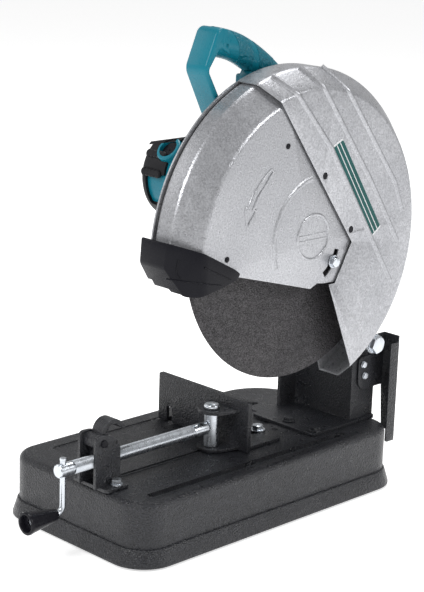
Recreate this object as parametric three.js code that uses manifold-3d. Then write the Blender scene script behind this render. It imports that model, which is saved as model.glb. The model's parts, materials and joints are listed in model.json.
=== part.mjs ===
// Abrasive chop saw with a 355 mm cut-off wheel.
// Millimetres, +Z up. The saw's front, with the vise crank, faces -Y, and the wheel is on the +X side.
// Inside the saw's own group X = Y = 0 is the middle of the base and Z = 0 is the rim of its skirt.

import * as THREE from 'three';
import { mergeVertices } from 'three/addons/utils/BufferGeometryUtils.js';
import Module from 'manifold-3d';

const wasm = await Module();
wasm.setup();

// ---------------------------------------------------------------- driving dimensions

const FOOT_DROP = 3;
const CENTRE_SHIFT = [-2.05, 39, FOOT_DROP];
const GAP = 0.3;

const BASE = {
  width: 260, length: 460, flare: 7, lip: 2, skirt: 21, top: 77, edge: 8,
  corner: 38, rearLeft: 75, wall: 3, ledge: 1,
};
const WHEEL = { radius: 177.5, thickness: 3, bore: 13.1, x: 100 };
const SPINDLE = { y: 33, z: 355 };
const MOTOR = { y: 48, z: 390, radius: 53, wall: 4.5, brushX: -90, brushAngle: 138 };
const PIVOT = { y: 200, z: 184, radius: 8, boss: 20 };
const GUARD = {
  y: 33, z: 345, sheet: 2, backX: 72,
  outerRadius: 206, outerShoulder: 104, outerFace: 130, outerFaceRadius: 184,
  innerRadius: 203, innerShoulder: 99, innerFace: 127, innerFaceRadius: 176,
};
const SEAM = [[-29, 517], [104, 338]];
const LOCK = { y: 74, z: 318, slotRadius: 49, slotFrom: -58, slotTo: -15 };
const SCREW = { x: 33, z: 107, radius: 8, tip: 5, front: -271, shoulder: -38 };
const JAW_PIN = { x: 33, y: -28, radius: 9 };
const FENCE = { left: -94, right: 67.5, front: 2, sheet: 5, top: 139.5, rear: 64, foot: 4.5 };
const FENCE_PIVOT = [-62, 46];
const FENCE_CLAMP = [31, 57];
const FENCE_SWING = 15;
const NUT_PIN = { y: -216, z: 132, radius: 3 };
const POST = { left: -22, right: 79, front: 178, rear: 222, plate: 4.5, nose: 148, foot: 4 };
const CRANK = { y: -263, radius: 3.5, drop: 56, bend: 8 };
const HANDLE = { x: 50, half: 17, round: 6 };
const HANDLE_OUTSIDE = [
  [-37.6, 448], [-91.5, 550, 9], [-70, 602, 16], [-14, 586, 16], [38, 551, 16], [62, 528, 14], [86, 490, 14],
  [86, 448],
];
const HANDLE_OPENING = [
  [-36, 470, 3], [-63, 515], [-83.5, 549.5, 4], [-71, 575, 5], [-60, 569, 5], [-12, 542, 5], [-8, 534, 4],
  [-8, 470, 3],
];
const SHAFT_LOCK_X = 30;
const LOCK_BUTTON = [26, 543];
const FEET = {
  foot_front_left: [-98, -198],
  foot_front_right: [98, -198],
  foot_rear_right: [98, 198],
  foot_rear_left: [-84, 184],
};
const BRACKET_BOLTS = [[57.2, -203], [8.8, -203]];
const POST_BOLTS = [[31, 115], [78, 113]];
const SHIELD_SCREWS = [[195.5, 154], [199, 138.5]];

// Facets round a turned shape: fine for the big discs, less for small parts and holes.
const ROUND = { hole: 6, small: 10, medium: 12, large: 18, wide: 24, guard: 48, wheel: 60 };

// ---------------------------------------------------------------- shape tools

const AXES = {
  x: new THREE.Matrix4().makeBasis(
    new THREE.Vector3(0, 1, 0), new THREE.Vector3(0, 0, 1), new THREE.Vector3(1, 0, 0)),
  y: new THREE.Matrix4().makeBasis(
    new THREE.Vector3(1, 0, 0), new THREE.Vector3(0, 0, 1), new THREE.Vector3(0, -1, 0)),
  z: new THREE.Matrix4(),
};
const SPIN_AXES = {
  x: new THREE.Matrix4().makeBasis(
    new THREE.Vector3(0, 0, 1), new THREE.Vector3(1, 0, 0), new THREE.Vector3(0, 1, 0)),
  y: new THREE.Matrix4(),
  z: new THREE.Matrix4().makeBasis(
    new THREE.Vector3(0, 1, 0), new THREE.Vector3(0, 0, 1), new THREE.Vector3(1, 0, 0)),
};

/** Drops the triangles whose corners have merged, and turns the rest into a solid. */
function solid(geometry) {
  const bare = geometry.index ? geometry.clone() : geometry;
  bare.deleteAttribute('normal');
  bare.deleteAttribute('uv');
  const merged = mergeVertices(bare, 1e-4);
  const kept = [];
  for (let i = 0; i < merged.index.count; i += 3) {
    const [a, b, c] = [0, 1, 2].map((k) => merged.index.getX(i + k));
    if (a !== b && b !== c && c !== a) kept.push(a, b, c);
  }
  const make = (triangles) => new wasm.Manifold(new wasm.Mesh({
    numProp: 3,
    vertProperties: Float32Array.from(merged.attributes.position.array),
    triVerts: Uint32Array.from(triangles),
  }));
  const first = make(kept);
  return first.volume() > 0 ? first : make(kept.reverse());
}

const join = (first, ...others) => others.reduce((sum, next) => sum.add(next), first);
const cut = (first, ...tools) => tools.reduce((rest, tool) => rest.subtract(tool), first);

function box(x0, x1, y0, y1, z0, z1) {
  const geometry = new THREE.BoxGeometry(x1 - x0, y1 - y0, z1 - z0);
  return solid(geometry.translate((x0 + x1) / 2, (y0 + y1) / 2, (z0 + z1) / 2));
}

/** A polygon whose corners are rounded with a fillet of the given reach. */
function outline(points, reach = 0) {
  const shape = new THREE.Shape();
  const corners = points.map((p) => new THREE.Vector2(...p));
  corners.forEach((corner, i) => {
    const before = corners[(i + corners.length - 1) % corners.length];
    const after = corners[(i + 1) % corners.length];
    const wanted = points[i][2] ?? reach;
    const r = Math.min(wanted, corner.distanceTo(before) / 2.01, corner.distanceTo(after) / 2.01);
    const start = corner.clone().lerp(before, r / corner.distanceTo(before));
    const end = corner.clone().lerp(after, r / corner.distanceTo(after));
    if (i === 0) shape.moveTo(start.x, start.y);
    else shape.lineTo(start.x, start.y);
    if (r > 0) shape.quadraticCurveTo(corner.x, corner.y, end.x, end.y);
  });
  return shape;
}

/** Extrudes a shape between two stations of an axis. x reads (Y, Z), y reads (X, Z), z reads (X, Y). */
function plate(axis, shape, from, to, curveSegments = 3) {
  const form = Array.isArray(shape) ? outline(shape) : shape;
  const settings = { depth: to - from, bevelEnabled: false, curveSegments };
  const geometry = new THREE.ExtrudeGeometry(form, settings);
  geometry.translate(0, 0, axis === 'y' ? -to : from);
  return solid(geometry.applyMatrix4(AXES[axis]));
}

/** A round bar along an axis. centre holds the two coordinates that are not on the axis. */
function rod(axis, centre, from, to, radius, segments = ROUND.small) {
  return turned(axis, centre, [[0, from], [radius, from], [radius, to], [0, to]], segments);
}

/** A turned part: profile points are [radius, station], from axis to axis or in a closed ring. */
function turned(axis, centre, profile, segments = ROUND.medium) {
  const points = profile.map(([r, s]) => new THREE.Vector2(r, s));
  const geometry = new THREE.LatheGeometry(points, segments).applyMatrix4(SPIN_AXES[axis]);
  const [a, b] = centre;
  const place = { x: [0, a, b], y: [a, 0, b], z: [a, b, 0] }[axis];
  return solid(geometry.translate(...place));
}

function ring(axis, centre, from, to, inner, outer, segments = ROUND.medium) {
  const profile = [[inner, from], [outer, from], [outer, to], [inner, to], [inner, from]];
  return turned(axis, centre, profile, segments);
}

/** A round bar or wire that follows a curve. */
function wire(curve, radius, steps, sides = 10) {
  const section = new THREE.Shape().absarc(0, 0, radius, 0, 2 * Math.PI, false);
  return solid(new THREE.ExtrudeGeometry(section, { extrudePath: curve, steps, curveSegments: sides }));
}

function circlePoints(y, z, radius, fromDegrees, toDegrees, count) {
  return Array.from({ length: count + 1 }, (_, i) => {
    const angle = THREE.MathUtils.degToRad(fromDegrees + ((toDegrees - fromDegrees) * i) / count);
    return [y + radius * Math.cos(angle), z + radius * Math.sin(angle)];
  });
}

/** A hexagon-head bolt with its washer pressed on. Stations run from the seat to the head's top. */
function bolt(axis, centre, seat, sign, { shank, length, across, washer, height = 5 }) {
  const at = (offset) => seat + sign * offset;
  const span = (a, b, radius, segments) =>
    rod(axis, centre, Math.min(at(a), at(b)), Math.max(at(a), at(b)), radius, segments);
  return join(
    span(-length, 1, shank, ROUND.hole),
    span(0, 1.8, washer, ROUND.medium),
    span(1.2, 1.8 + height, across / 2, 6));
}

const paint = (color, roughness, metalness) =>
  new THREE.MeshStandardMaterial({ color, roughness, metalness });
const FINISH = {
  powder: () => paint(0x2b2c2f, 0.75, 0.1),
  silver: () => paint(0xb9babd, 0.45, 0.55),
  teal: () => paint(0x14818f, 0.45, 0),
  blackPlastic: () => paint(0x17181a, 0.5, 0),
  rubber: () => paint(0x1b1b1b, 0.85, 0),
  zinc: () => paint(0xc6ccd2, 0.3, 0.9),
  steel: () => paint(0x9fa3a8, 0.35, 0.9),
  abrasive: () => paint(0x4a4648, 0.95, 0),
  copper: () => paint(0xa7633a, 0.4, 0.8),
  carbon: () => paint(0x222222, 0.8, 0.1),
};

const saw = new THREE.Group();

/** Adds one named piece to the saw. */
function piece(name, body, finish) {
  const made = body.getMesh();
  const geometry = new THREE.BufferGeometry();
  geometry.setAttribute('position', new THREE.BufferAttribute(made.vertProperties, 3));
  geometry.setIndex(new THREE.BufferAttribute(made.triVerts, 1));
  geometry.computeVertexNormals();
  const mesh = new THREE.Mesh(geometry, finish());
  mesh.name = name;
  saw.add(mesh);
}

// ---------------------------------------------------------------- base, feet and post

/** The plan of the base, inset from its skirt. The rear left corner has a larger radius. */
function basePlan(inset, radiusInset) {
  const x = BASE.width / 2 - inset;
  const y = BASE.length / 2 - inset;
  const r = Math.max(BASE.corner - radiusInset, 4);
  const rear = Math.max(BASE.rearLeft - radiusInset, 4);
  const shape = new THREE.Shape();
  shape.absarc(-x + r, -y + r, r, Math.PI, 1.5 * Math.PI, false);
  shape.absarc(x - r, -y + r, r, 1.5 * Math.PI, 2 * Math.PI, false);
  shape.absarc(x - r, y - r, r, 0, 0.5 * Math.PI, false);
  shape.absarc(-x + rear, y - rear, rear, 0.5 * Math.PI, Math.PI, false);
  return shape;
}

/** A block on the base's plan whose upper edge is bevelled or rounded by the given reach. */
function baseBlock(inset, from, to, edge, reach, bevelSegments) {
  const depth = to - from;
  const geometry = new THREE.ExtrudeGeometry(basePlan(inset + reach, inset + reach - BASE.flare), {
    depth, bevelThickness: edge, bevelSize: reach, bevelSegments, curveSegments: 4,
  });
  const block = solid(geometry.translate(0, 0, from));
  return cut(block, box(-200, 200, -300, 300, from - 30, from));
}

const long = (x0, x1, y0, y1, z0, z1) => {
  const r = (x1 - x0) / 2 - 0.01;
  return plate('z', outline([[x0, y0], [x1, y0], [x1, y1], [x0, y1]], r), z0, z1, 2);
};

function baseTray() {
  const { flare, lip, skirt, top, edge, wall, ledge } = BASE;
  const skirtBlock = baseBlock(0, 0, lip, skirt - lip, flare, 1);
  const upper = baseBlock(flare + ledge, lip, top - edge, edge, edge, 2);
  const insideSkirt = baseBlock(wall, -10, lip, skirt - lip - wall, flare, 1);
  const insideUpper = baseBlock(flare + ledge + wall, -10, top - edge, edge - wall, edge - wall, 1);
  const outside = join(skirtBlock, upper);
  const lugs = Object.values(FEET).map((at) => rod('z', at, 0.5, 3.5, 32, ROUND.medium).intersect(outside));
  const tub = long(WHEEL.x - 9, WHEEL.x + 9, -196, 146, top - 17, top - 1);
  const tray = join(cut(outside, insideSkirt, insideUpper), ...lugs, tub);
  const grooves = [
    long(WHEEL.x - 6, WHEEL.x + 6, -193, 143, top - 14, top + 5),
    long(26, 32, -174, 30, top - 1.6, top + 5),
    plate('z', outline([[-96, -176], [12, -176], [12, 120], [-96, 120]], 9), top - 1.5, top + 5, 3),
  ];
  const spareHoles = [
    rod('z', [33, 87], top - 9, top + 5, 4.5, ROUND.small),
    long(-60, -51, 128, 146, top - 9, top + 5),
  ];
  const boltHoles = [...BRACKET_BOLTS, ...POST_BOLTS, FENCE_PIVOT, FENCE_CLAMP]
    .map((at) => rod('z', at, top - 9, top + 5, 5, ROUND.small));
  const footHoles = Object.values(FEET).map((at) => rod('z', at, -1, 6, 5, ROUND.small));
  return cut(tray, ...grooves, ...spareHoles, ...boltHoles, ...footHoles);
}

function rubberFoot(at) {
  const profile = [
    [0, -FOOT_DROP], [11, -FOOT_DROP], [13, -FOOT_DROP + 1.2], [13, 0.2], [4.6, 0.2], [4.6, 3.8],
    [6.6, 3.8], [4, 8], [0, 8],
  ];
  return turned('z', at, profile, ROUND.small);
}

/** A cheek of the post, round about the head's pivot. reach is how far its foot runs forward. */
function cheek(x0, x1, reach) {
  const crown = circlePoints(PIVOT.y, PIVOT.z, (POST.rear - POST.front) / 2, 0, 180, 12);
  const nose = reach < POST.front ? [[POST.front, 165], [reach, 132], [reach, 78]] : [[POST.front, 78]];
  return plate('x', [[POST.rear, 78], ...crown, ...nose], x0, x1);
}

function postBracket() {
  const { left, right, front, rear, plate: thick, nose } = POST;
  const floor = BASE.top + GAP;
  const plan = outline([[left, 100], [85, 100], [85, rear], [left, rear]], 6);
  const foot = plate('z', plan, floor, floor + POST.foot, 3);
  const web = box(left, right, front, front + thick, floor + 1, 152);
  const body = join(foot, web, cheek(right - thick, right, front), cheek(left, left + thick, nose));
  const pivotHole = rod('x', [PIVOT.y, PIVOT.z], left - 5, right + 5, PIVOT.radius + 0.5, ROUND.medium);
  const screwHoles = SHIELD_SCREWS.map((at) => rod('x', at, right - 10, right + 5, 2.9, ROUND.hole));
  const boltHoles = POST_BOLTS.map((at) => rod('z', at, 70, 90, 4.8, ROUND.small));
  return cut(body, pivotHole, ...screwHoles, ...boltHoles);
}

function rearShield() {
  const sheet = 2;
  const side = POST.right + 0.6;
  const edgeX = 105;
  const tab = plate('x', outline([
    [188, 128], [196, 120, 2], [238, 120, 0.1], [238, 190, 0.1], [221, 190], [221, 164], [188, 164],
  ], 4), side, side + sheet, 3);
  const back = outline([[side, 120, 0.1], [84, 60], [edgeX, 60, 0.1], [edgeX, 190], [side, 190, 0.1]], 4);
  const lip = outline([[238, 48, 0.1], [238, 181, 0.1], [222, 181], [222, 48]], 3);
  const main = plate('y', back, 236, 238, 3);
  const flange = plate('x', lip, edgeX - sheet, edgeX, 3);
  const holes = SHIELD_SCREWS.map((at) => rod('x', at, 70, 90, 2.9, ROUND.hole));
  return cut(join(tab, main, flange), ...holes);
}

function buildBase() {
  piece('base_tray', baseTray(), FINISH.powder);
  Object.entries(FEET).forEach(([name, at]) => piece(name, rubberFoot(at), FINISH.rubber));
  piece('post_bracket', postBracket(), FINISH.powder);
  piece('rear_shield', rearShield(), FINISH.powder);
  const seat = BASE.top + GAP + POST.foot + GAP;
  const postBolt = { shank: 4.2, length: 12, across: 13, washer: 8, height: 4 };
  POST_BOLTS.forEach((at, i) => {
    piece(`post_bolt_${i + 1}`, bolt('z', at, seat, 1, postBolt), FINISH.powder);
  });
  const shieldScrew = { shank: 2.4, length: 9, across: 8, washer: 4.6, height: 2 };
  SHIELD_SCREWS.forEach((at, i) => {
    piece(`shield_screw_${i + 1}`, bolt('x', at, POST.right + 3, 1, shieldScrew), FINISH.zinc);
  });
}

// ---------------------------------------------------------------- fence

function fencePlate() {
  const { left, right, front, sheet, top, rear, foot } = FENCE;
  const floor = BASE.top + GAP;
  const face = outline([[left, floor, 0.1], [right, floor, 0.1], [right, top], [left, top]], 6);
  const plan = outline([[left, front, 0.1], [right, front, 0.1], [right, rear], [left, rear]], 8);
  const upright = plate('y', face, front, front + sheet, 3);
  const flat = plate('z', plan, floor, floor + foot, 3);
  const notch = long(-79, -69, -10, 26, floor - 2, floor + 20);
  const [px, py] = FENCE_PIVOT;
  const clampAngle = THREE.MathUtils.radToDeg(Math.atan2(FENCE_CLAMP[1] - py, FENCE_CLAMP[0] - px));
  const reach = Math.hypot(FENCE_CLAMP[1] - py, FENCE_CLAMP[0] - px);
  const from = clampAngle - FENCE_SWING;
  const slot = outline([
    ...circlePoints(px, py, reach - 5, from, clampAngle, 6),
    ...circlePoints(px, py, reach + 5, clampAngle, from, 6),
  ]);
  const ends = [from, clampAngle].map((angle) => {
    const [[x, y]] = circlePoints(px, py, reach, angle, angle, 1);
    return rod('z', [x, y], floor - 2, floor + 10, 5, ROUND.small);
  });
  const pivotHole = rod('z', FENCE_PIVOT, floor - 2, floor + 10, 5, ROUND.small);
  const clampSlot = plate('z', slot, floor - 2, floor + 10);
  return cut(join(upright, flat), notch, clampSlot, pivotHole, ...ends);
}

function buildFence() {
  const seat = BASE.top + GAP + FENCE.foot + GAP;
  const size = { shank: 4.2, length: 12, across: 15, washer: 10, height: 5.5 };
  piece('fence', fencePlate(), FINISH.powder);
  piece('fence_pivot_bolt', bolt('z', FENCE_PIVOT, seat, 1, size), FINISH.zinc);
  piece('fence_clamp_bolt', bolt('z', FENCE_CLAMP, seat, 1, size), FINISH.zinc);
}

// ---------------------------------------------------------------- vise

function viseBracket() {
  const floor = BASE.top + GAP;
  const plan = outline([[1, -224], [65, -224], [65, -188], [1, -188]], 7);
  const foot = plate('z', plan, floor, floor + 4, 3);
  const side = outline([[-228, 79, 0.1], [-190, 79, 0.1], [-191, 128], [-206, 141], [-228, 142]], 7);
  const cheeks = [17, 45].map((x) => plate('x', side, x, x + 4));
  const boltHoles = BRACKET_BOLTS.map((at) => rod('z', at, 70, 90, 4.8, ROUND.small));
  const pinHole = rod('x', [NUT_PIN.y, NUT_PIN.z], 10, 60, NUT_PIN.radius + 0.4, ROUND.small);
  return cut(join(foot, ...cheeks), pinHole, ...boltHoles);
}

function halfNut() {
  const body = outline([
    [-223, 125], [-214, 124], [-214, 107.6], [-195, 107.6], [-195, 132], [-210, 140], [-223, 139],
  ], 4);
  const tab = outline([
    [-214, 136], [-210, 150], [-198, 157], [-184, 152], [-177, 143], [-180, 140], [-188, 147], [-198, 151],
    [-204, 146], [-203, 132],
  ], 3);
  const [from, to] = [21.8, 44.2];
  const bore = rod('y', [SCREW.x, SCREW.z], -240, -180, SCREW.radius + 0.6, ROUND.medium);
  const pinHole = rod('x', [NUT_PIN.y, NUT_PIN.z], 10, 60, NUT_PIN.radius + 0.4, ROUND.small);
  const eye = rod('x', [NUT_PIN.y, NUT_PIN.z], from, to, 8, ROUND.medium);
  return cut(join(plate('x', body, from, to), eye, plate('x', tab, from + 2, to - 2)), bore, pinHole);
}

function jaw() {
  const [left, right, face, rear] = [-5, 73, -5, 0];
  const front = outline([[left, 78], [right, 78], [right, 142], [left, 142]], 4);
  const upright = plate('y', front, face, rear, 3);
  const ear = outline([
    [left + 12, face + 1, 0.1], [right - 14, face + 1, 0.1], [JAW_PIN.x + 15, -44], [JAW_PIN.x - 15, -44],
  ], 12);
  const ears = [78, 126].map((z) => plate('z', ear, z, z + 4));
  const hole = rod('z', [JAW_PIN.x, JAW_PIN.y], 70, 140, 6.4, ROUND.medium);
  return cut(join(upright, ...ears), hole);
}

function jawPin() {
  const { x, y, radius } = JAW_PIN;
  const profile = [
    [0, 78.4], [6, 78.4], [6, 82.4], [radius, 82.4], [radius, 125.6], [6, 125.6], [6, 130.4],
    [9.5, 130.4], [9.5, 135], [8, 137], [0, 137],
  ];
  const socket = rod('y', [x, SCREW.z], y - 14, y + 5, SCREW.tip + 0.5, ROUND.small);
  return cut(turned('z', [x, y], profile, ROUND.medium), socket);
}

function viseScrew() {
  const { x, z, radius, tip, front, shoulder } = SCREW;
  const profile = [
    [0, front], [radius - 1, front], [radius, front + 1], [radius, shoulder - 1], [radius - 1, shoulder],
    [tip, shoulder], [tip, -25], [0, -25],
  ];
  const crankHole = rod('z', [x, CRANK.y], 80, 130, CRANK.radius + 0.4, ROUND.small);
  return cut(turned('y', [x, z], profile, ROUND.medium), crankHole);
}

function crankRod() {
  const { y, drop, bend, radius } = CRANK;
  const x = SCREW.x;
  const path = new THREE.CurvePath();
  const point = (py, pz) => new THREE.Vector3(x, py, pz);
  path.add(new THREE.LineCurve3(point(y, 122), point(y, drop + bend)));
  path.add(new THREE.QuadraticBezierCurve3(point(y, drop + bend), point(y, drop), point(y - bend, drop)));
  path.add(new THREE.LineCurve3(point(y - bend, drop), point(y - 46, drop)));
  return wire(path, radius, 16, 5);
}

function crankGrip() {
  const profile = [
    [4, -273], [6.5, -273], [8, -280], [11, -300], [13.5, -315], [13, -317], [10, -317], [9, -310.5],
    [4, -310.5], [4, -273],
  ];
  return turned('y', [SCREW.x, CRANK.drop], profile, ROUND.medium);
}

function buildVise() {
  piece('vise_bracket', viseBracket(), FINISH.powder);
  const seat = BASE.top + GAP + 4 + GAP;
  const bracketBolt = { shank: 4.2, length: 12, across: 11, washer: 7.5, height: 6 };
  BRACKET_BOLTS.forEach((at, i) => {
    piece(`bracket_bolt_${i + 1}`, bolt('z', at, seat, 1, bracketBolt), FINISH.zinc);
  });
  const pin = turned('x', [NUT_PIN.y, NUT_PIN.z],
    [[0, 14], [5, 14], [5, 16.6], [3, 16.6], [3, 49.4], [5, 49.4], [4, 52], [0, 52]], 16);
  piece('half_nut_pin', pin, FINISH.steel);
  piece('half_nut', halfNut(), FINISH.powder);
  piece('jaw_pin', jawPin(), FINISH.zinc);
  piece('vise_jaw', jaw(), FINISH.powder);
  piece('vise_screw', viseScrew(), FINISH.zinc);
  piece('crank_rod', crankRod(), FINISH.zinc);
  piece('crank_grip', crankGrip(), FINISH.blackPlastic);
}

// ---------------------------------------------------------------- head pivot

function returnSpring() {
  const turns = 3.5;
  const mean = 14;
  const points = Array.from({ length: 73 }, (_, i) => {
    const angle = (turns * 2 * Math.PI * i) / 72;
    const [y, z] = [PIVOT.y + mean * Math.cos(angle), PIVOT.z + mean * Math.sin(angle)];
    return new THREE.Vector3(-13 + (17 * i) / 72, y, z);
  });
  return wire(new THREE.CatmullRomCurve3(points), 1.6, 44, 3);
}

function buildPivot() {
  const centre = [PIVOT.y, PIVOT.z];
  const { radius } = PIVOT;
  const shaft = join(
    rod('x', centre, -38, 94, radius, ROUND.medium),
    rod('x', centre, 92.5, 95, 13, ROUND.large),
    rod('x', centre, 94.5, 103, 12, 6));
  const spacer = ring('x', centre, POST.right + 0.5, 92, radius + 0.4, 12.5, ROUND.medium);
  piece('pivot_bolt', shaft, FINISH.zinc);
  piece('pivot_spacer', spacer, FINISH.zinc);
  const nutBore = rod('x', centre, -40, -10, radius + 0.3, ROUND.medium);
  const nut = cut(rod('x', centre, -34, -23, 13, 6), nutBore);
  piece('pivot_nut', nut, FINISH.zinc);
  piece('return_spring', returnSpring(), FINISH.steel);
}

// ---------------------------------------------------------------- gear case and arm

function gearCase() {
  const spindle = [SPINDLE.y, SPINDLE.z];
  const motor = [MOTOR.y, MOTOR.z];
  const shells = [rod('x', spindle, -18, 64, 42, ROUND.wide), rod('x', motor, -18, 40, 42, ROUND.wide)];
  const arm = plate('x', outline([
    [20, 320], [62, 362], [88, 350], [218, 192], [196, 166], [150, 196], [40, 312],
  ], 6), 10, 58, 3);
  const pocketPlan = outline([[70, 318], [84, 330], [176, 212], [164, 200]], 4);
  const armPocket = plate('x', pocketPlan, 5, 50, 3);
  const boss = rod('x', [PIVOT.y, PIVOT.z], 8, 72, PIVOT.boss, ROUND.large);
  const flange = rod('x', motor, -18, -12, MOTOR.radius, ROUND.wide);
  const guardSeat = rod('x', spindle, 62, 71.5, 40, ROUND.wide);
  const seatPlan = outline([[-20, 398], [-36, 446], [80, 446], [84, 400]], 4);
  const handleSeat = plate('x', seatPlan, 36, 64, 3);
  const body = join(...shells, arm, boss, flange, guardSeat, handleSeat);
  const cavity = [rod('x', spindle, -6, 44, 36, ROUND.large), rod('x', motor, -5, 34, 34, ROUND.large)];
  const bores = [
    rod('x', spindle, -14, 0, 14.4, ROUND.medium),
    rod('x', spindle, 40, 60, 26.4, ROUND.large),
    rod('x', spindle, 55, 80, 18, ROUND.large),
    rod('x', motor, -30, 0, 16.4, ROUND.medium),
    rod('x', [PIVOT.y, PIVOT.z], 0, 90, PIVOT.radius + 0.5, ROUND.medium),
  ];
  const lockHole = rod('y', [SHAFT_LOCK_X, SPINDLE.z], -20, 20, 3.6, ROUND.small);
  return cut(body, armPocket, ...cavity, ...bores, lockHole);
}

/** A gear blank with square teeth between two radii. */
function gear(centre, from, to, root, tip, teeth) {
  const points = [];
  for (let i = 0; i < teeth; i += 1) {
    const angle = (360 * i) / teeth;
    const tooth = 360 / teeth;
    points.push(...circlePoints(...centre, tip, angle - tooth * 0.18, angle + tooth * 0.18, 1));
    points.push(...circlePoints(...centre, root, angle + tooth * 0.32, angle + tooth * 0.68, 1));
  }
  return plate('x', points, from, to);
}

function buildDrive() {
  const spindle = [SPINDLE.y, SPINDLE.z];
  const motor = [MOTOR.y, MOTOR.z];
  piece('arm_casting', gearCase(), FINISH.powder);
  const shaft = turned('x', spindle, [
    [0, -12], [8, -12], [8, -1], [11, -1], [11, 46], [12.5, 46], [12.5, 61], [16, 61], [16, 84], [12.5, 84],
    [12.5, 106], [5.4, 106], [5.4, 86], [0, 86],
  ], ROUND.large);
  const lockSocket = rod('y', [SHAFT_LOCK_X, SPINDLE.z], 18, 28, 3.6, ROUND.hole);
  piece('spindle', cut(shaft, lockSocket), FINISH.steel);
  const wheelGear = cut(gear(spindle, 2, 16, 26.4, 29, 30), rod('x', spindle, 0, 20, 11.3, ROUND.large));
  piece('drive_gear', wheelGear, FINISH.steel);
  const innerBearing = ring('x', spindle, -12, -3, 8.3, 14, ROUND.medium);
  piece('spindle_bearing_inner', innerBearing, FINISH.steel);
  const outerBearing = ring('x', spindle, 46.3, 59.5, 13.2, 26, ROUND.large);
  piece('spindle_bearing_outer', outerBearing, FINISH.steel);
  piece('inner_flange', ring('x', spindle, 84.3, WHEEL.x - 1.8, 12.8, 38, ROUND.wide), FINISH.steel);
  const outer = turned('x', spindle, [
    [13, WHEEL.x + 1.8], [38, WHEEL.x + 1.8], [38, 107], [34, 111], [5.6, 111], [5.6, 106.5], [13, 106.5],
    [13, WHEEL.x + 1.8],
  ], ROUND.wide);
  piece('outer_flange', outer, FINISH.steel);
  const flangeBolt = { shank: 5, length: 23, across: 17, washer: 12, height: 6.5 };
  piece('flange_bolt', bolt('x', spindle, 111.3, 1, flangeBolt), FINISH.zinc);
  const { x, thickness, bore, radius } = WHEEL;
  const wheel = ring('x', spindle, x - thickness / 2, x + thickness / 2, bore, radius, ROUND.wheel);
  piece('cutting_wheel', wheel, FINISH.abrasive);
  const lock = [SHAFT_LOCK_X, SPINDLE.z];
  const knob = rod('y', lock, -27, -15.5, 7, ROUND.small);
  const lockButton = join(knob, rod('y', lock, -16, 15, 3, ROUND.small));
  piece('shaft_lock_button', lockButton, FINISH.blackPlastic);
  piece('armature_bearing_inner', ring('x', motor, -17, -7, 7.3, 16, ROUND.medium), FINISH.steel);
}

// ---------------------------------------------------------------- motor

const radial = (angleDegrees, radius) => {
  const [[y, z]] = circlePoints(MOTOR.y, MOTOR.z, radius, angleDegrees, angleDegrees, 1);
  return [y, z];
};

/** A bar that points out of the motor's axis at the given angle, between two radii. */
function spoke(x, angleDegrees, from, to, radius, segments = ROUND.small) {
  const geometry = new THREE.CylinderGeometry(radius, radius, to - from, segments);
  geometry.translate(0, (from + to) / 2, 0);
  geometry.applyMatrix4(new THREE.Matrix4().makeRotationX(THREE.MathUtils.degToRad(angleDegrees)));
  return solid(geometry.translate(x, MOTOR.y, MOTOR.z));
}

const BRUSH_ANGLES = { front: MOTOR.brushAngle, rear: MOTOR.brushAngle + 180 };

function motorHousing() {
  const centre = [MOTOR.y, MOTOR.z];
  const inner = MOTOR.radius - MOTOR.wall;
  const outside = rod('x', centre, -122, -18.4, MOTOR.radius, ROUND.wide);
  const tube = cut(outside, rod('x', centre, -118, -10, inner, ROUND.wide));
  const seat = ring('x', centre, -118.5, -108, 13.4, 17.5, ROUND.medium);
  const angles = Object.values(BRUSH_ANGLES);
  const bosses = angles.map((angle) => spoke(MOTOR.brushX, angle, inner - 6, 60, 14.5, ROUND.medium));
  const bores = angles.map((angle) => spoke(MOTOR.brushX, angle, 30, 70, 9.2, ROUND.small));
  const vents = Array.from({ length: 6 }, (_, i) => spoke(-120, i * 60, 22, 42, 3.4, 6));
  return cut(join(tube, seat, ...bosses), ...bores, ...vents);
}

/** The soft bumper that wraps the housing's free end, with windows at the brush caps and the sides. */
function motorEndCap() {
  const centre = [MOTOR.y, MOTOR.z];
  const cup = turned('x', centre, [
    [20, -130], [50, -130], [57, -122], [57.5, -84], [MOTOR.radius + 0.4, -84],
    [MOTOR.radius + 0.4, -122.6], [20, -122.6], [20, -130],
  ], ROUND.wide);
  const angles = Object.values(BRUSH_ANGLES);
  const collars = angles.map((angle) => spoke(MOTOR.brushX, angle, 50, 80, 15.1, ROUND.medium));
  const windows = [190, 340].map((angle) => {
    const [y, z] = radial(angle, 60);
    return box(-116, -80, y - 16, y + 16, z - 24, z + 18);
  });
  return cut(cup, ...collars, ...windows);
}

function armature() {
  const centre = [MOTOR.y, MOTOR.z];
  const body = turned('x', centre, [
    [0, -117], [5, -117], [5, -99], [15, -99], [15, -84], [10, -84], [10, -82], [20, -80], [26.5, -76],
    [26.5, -44], [20, -40], [9, -38], [7, -34], [7, 2], [0, 2],
  ], ROUND.large);
  return join(body, gear(centre, 1, 18, 6.4, 8.5, 8));
}

function coolingFan() {
  const centre = [MOTOR.y, MOTOR.z];
  const disc = ring('x', centre, -26, -23.5, 9, 42, ROUND.large);
  const hub = ring('x', centre, -32, -23.5, 7.3, 12, ROUND.medium);
  const blades = Array.from({ length: 9 }, (_, i) => {
    const turn = new THREE.Matrix4().makeRotationX((i * 2 * Math.PI) / 9);
    const blade = new THREE.BoxGeometry(8, 31, 2).translate(-28, 25.5, 4).applyMatrix4(turn);
    return solid(blade.translate(0, MOTOR.y, MOTOR.z));
  });
  return join(disc, hub, ...blades);
}

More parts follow.
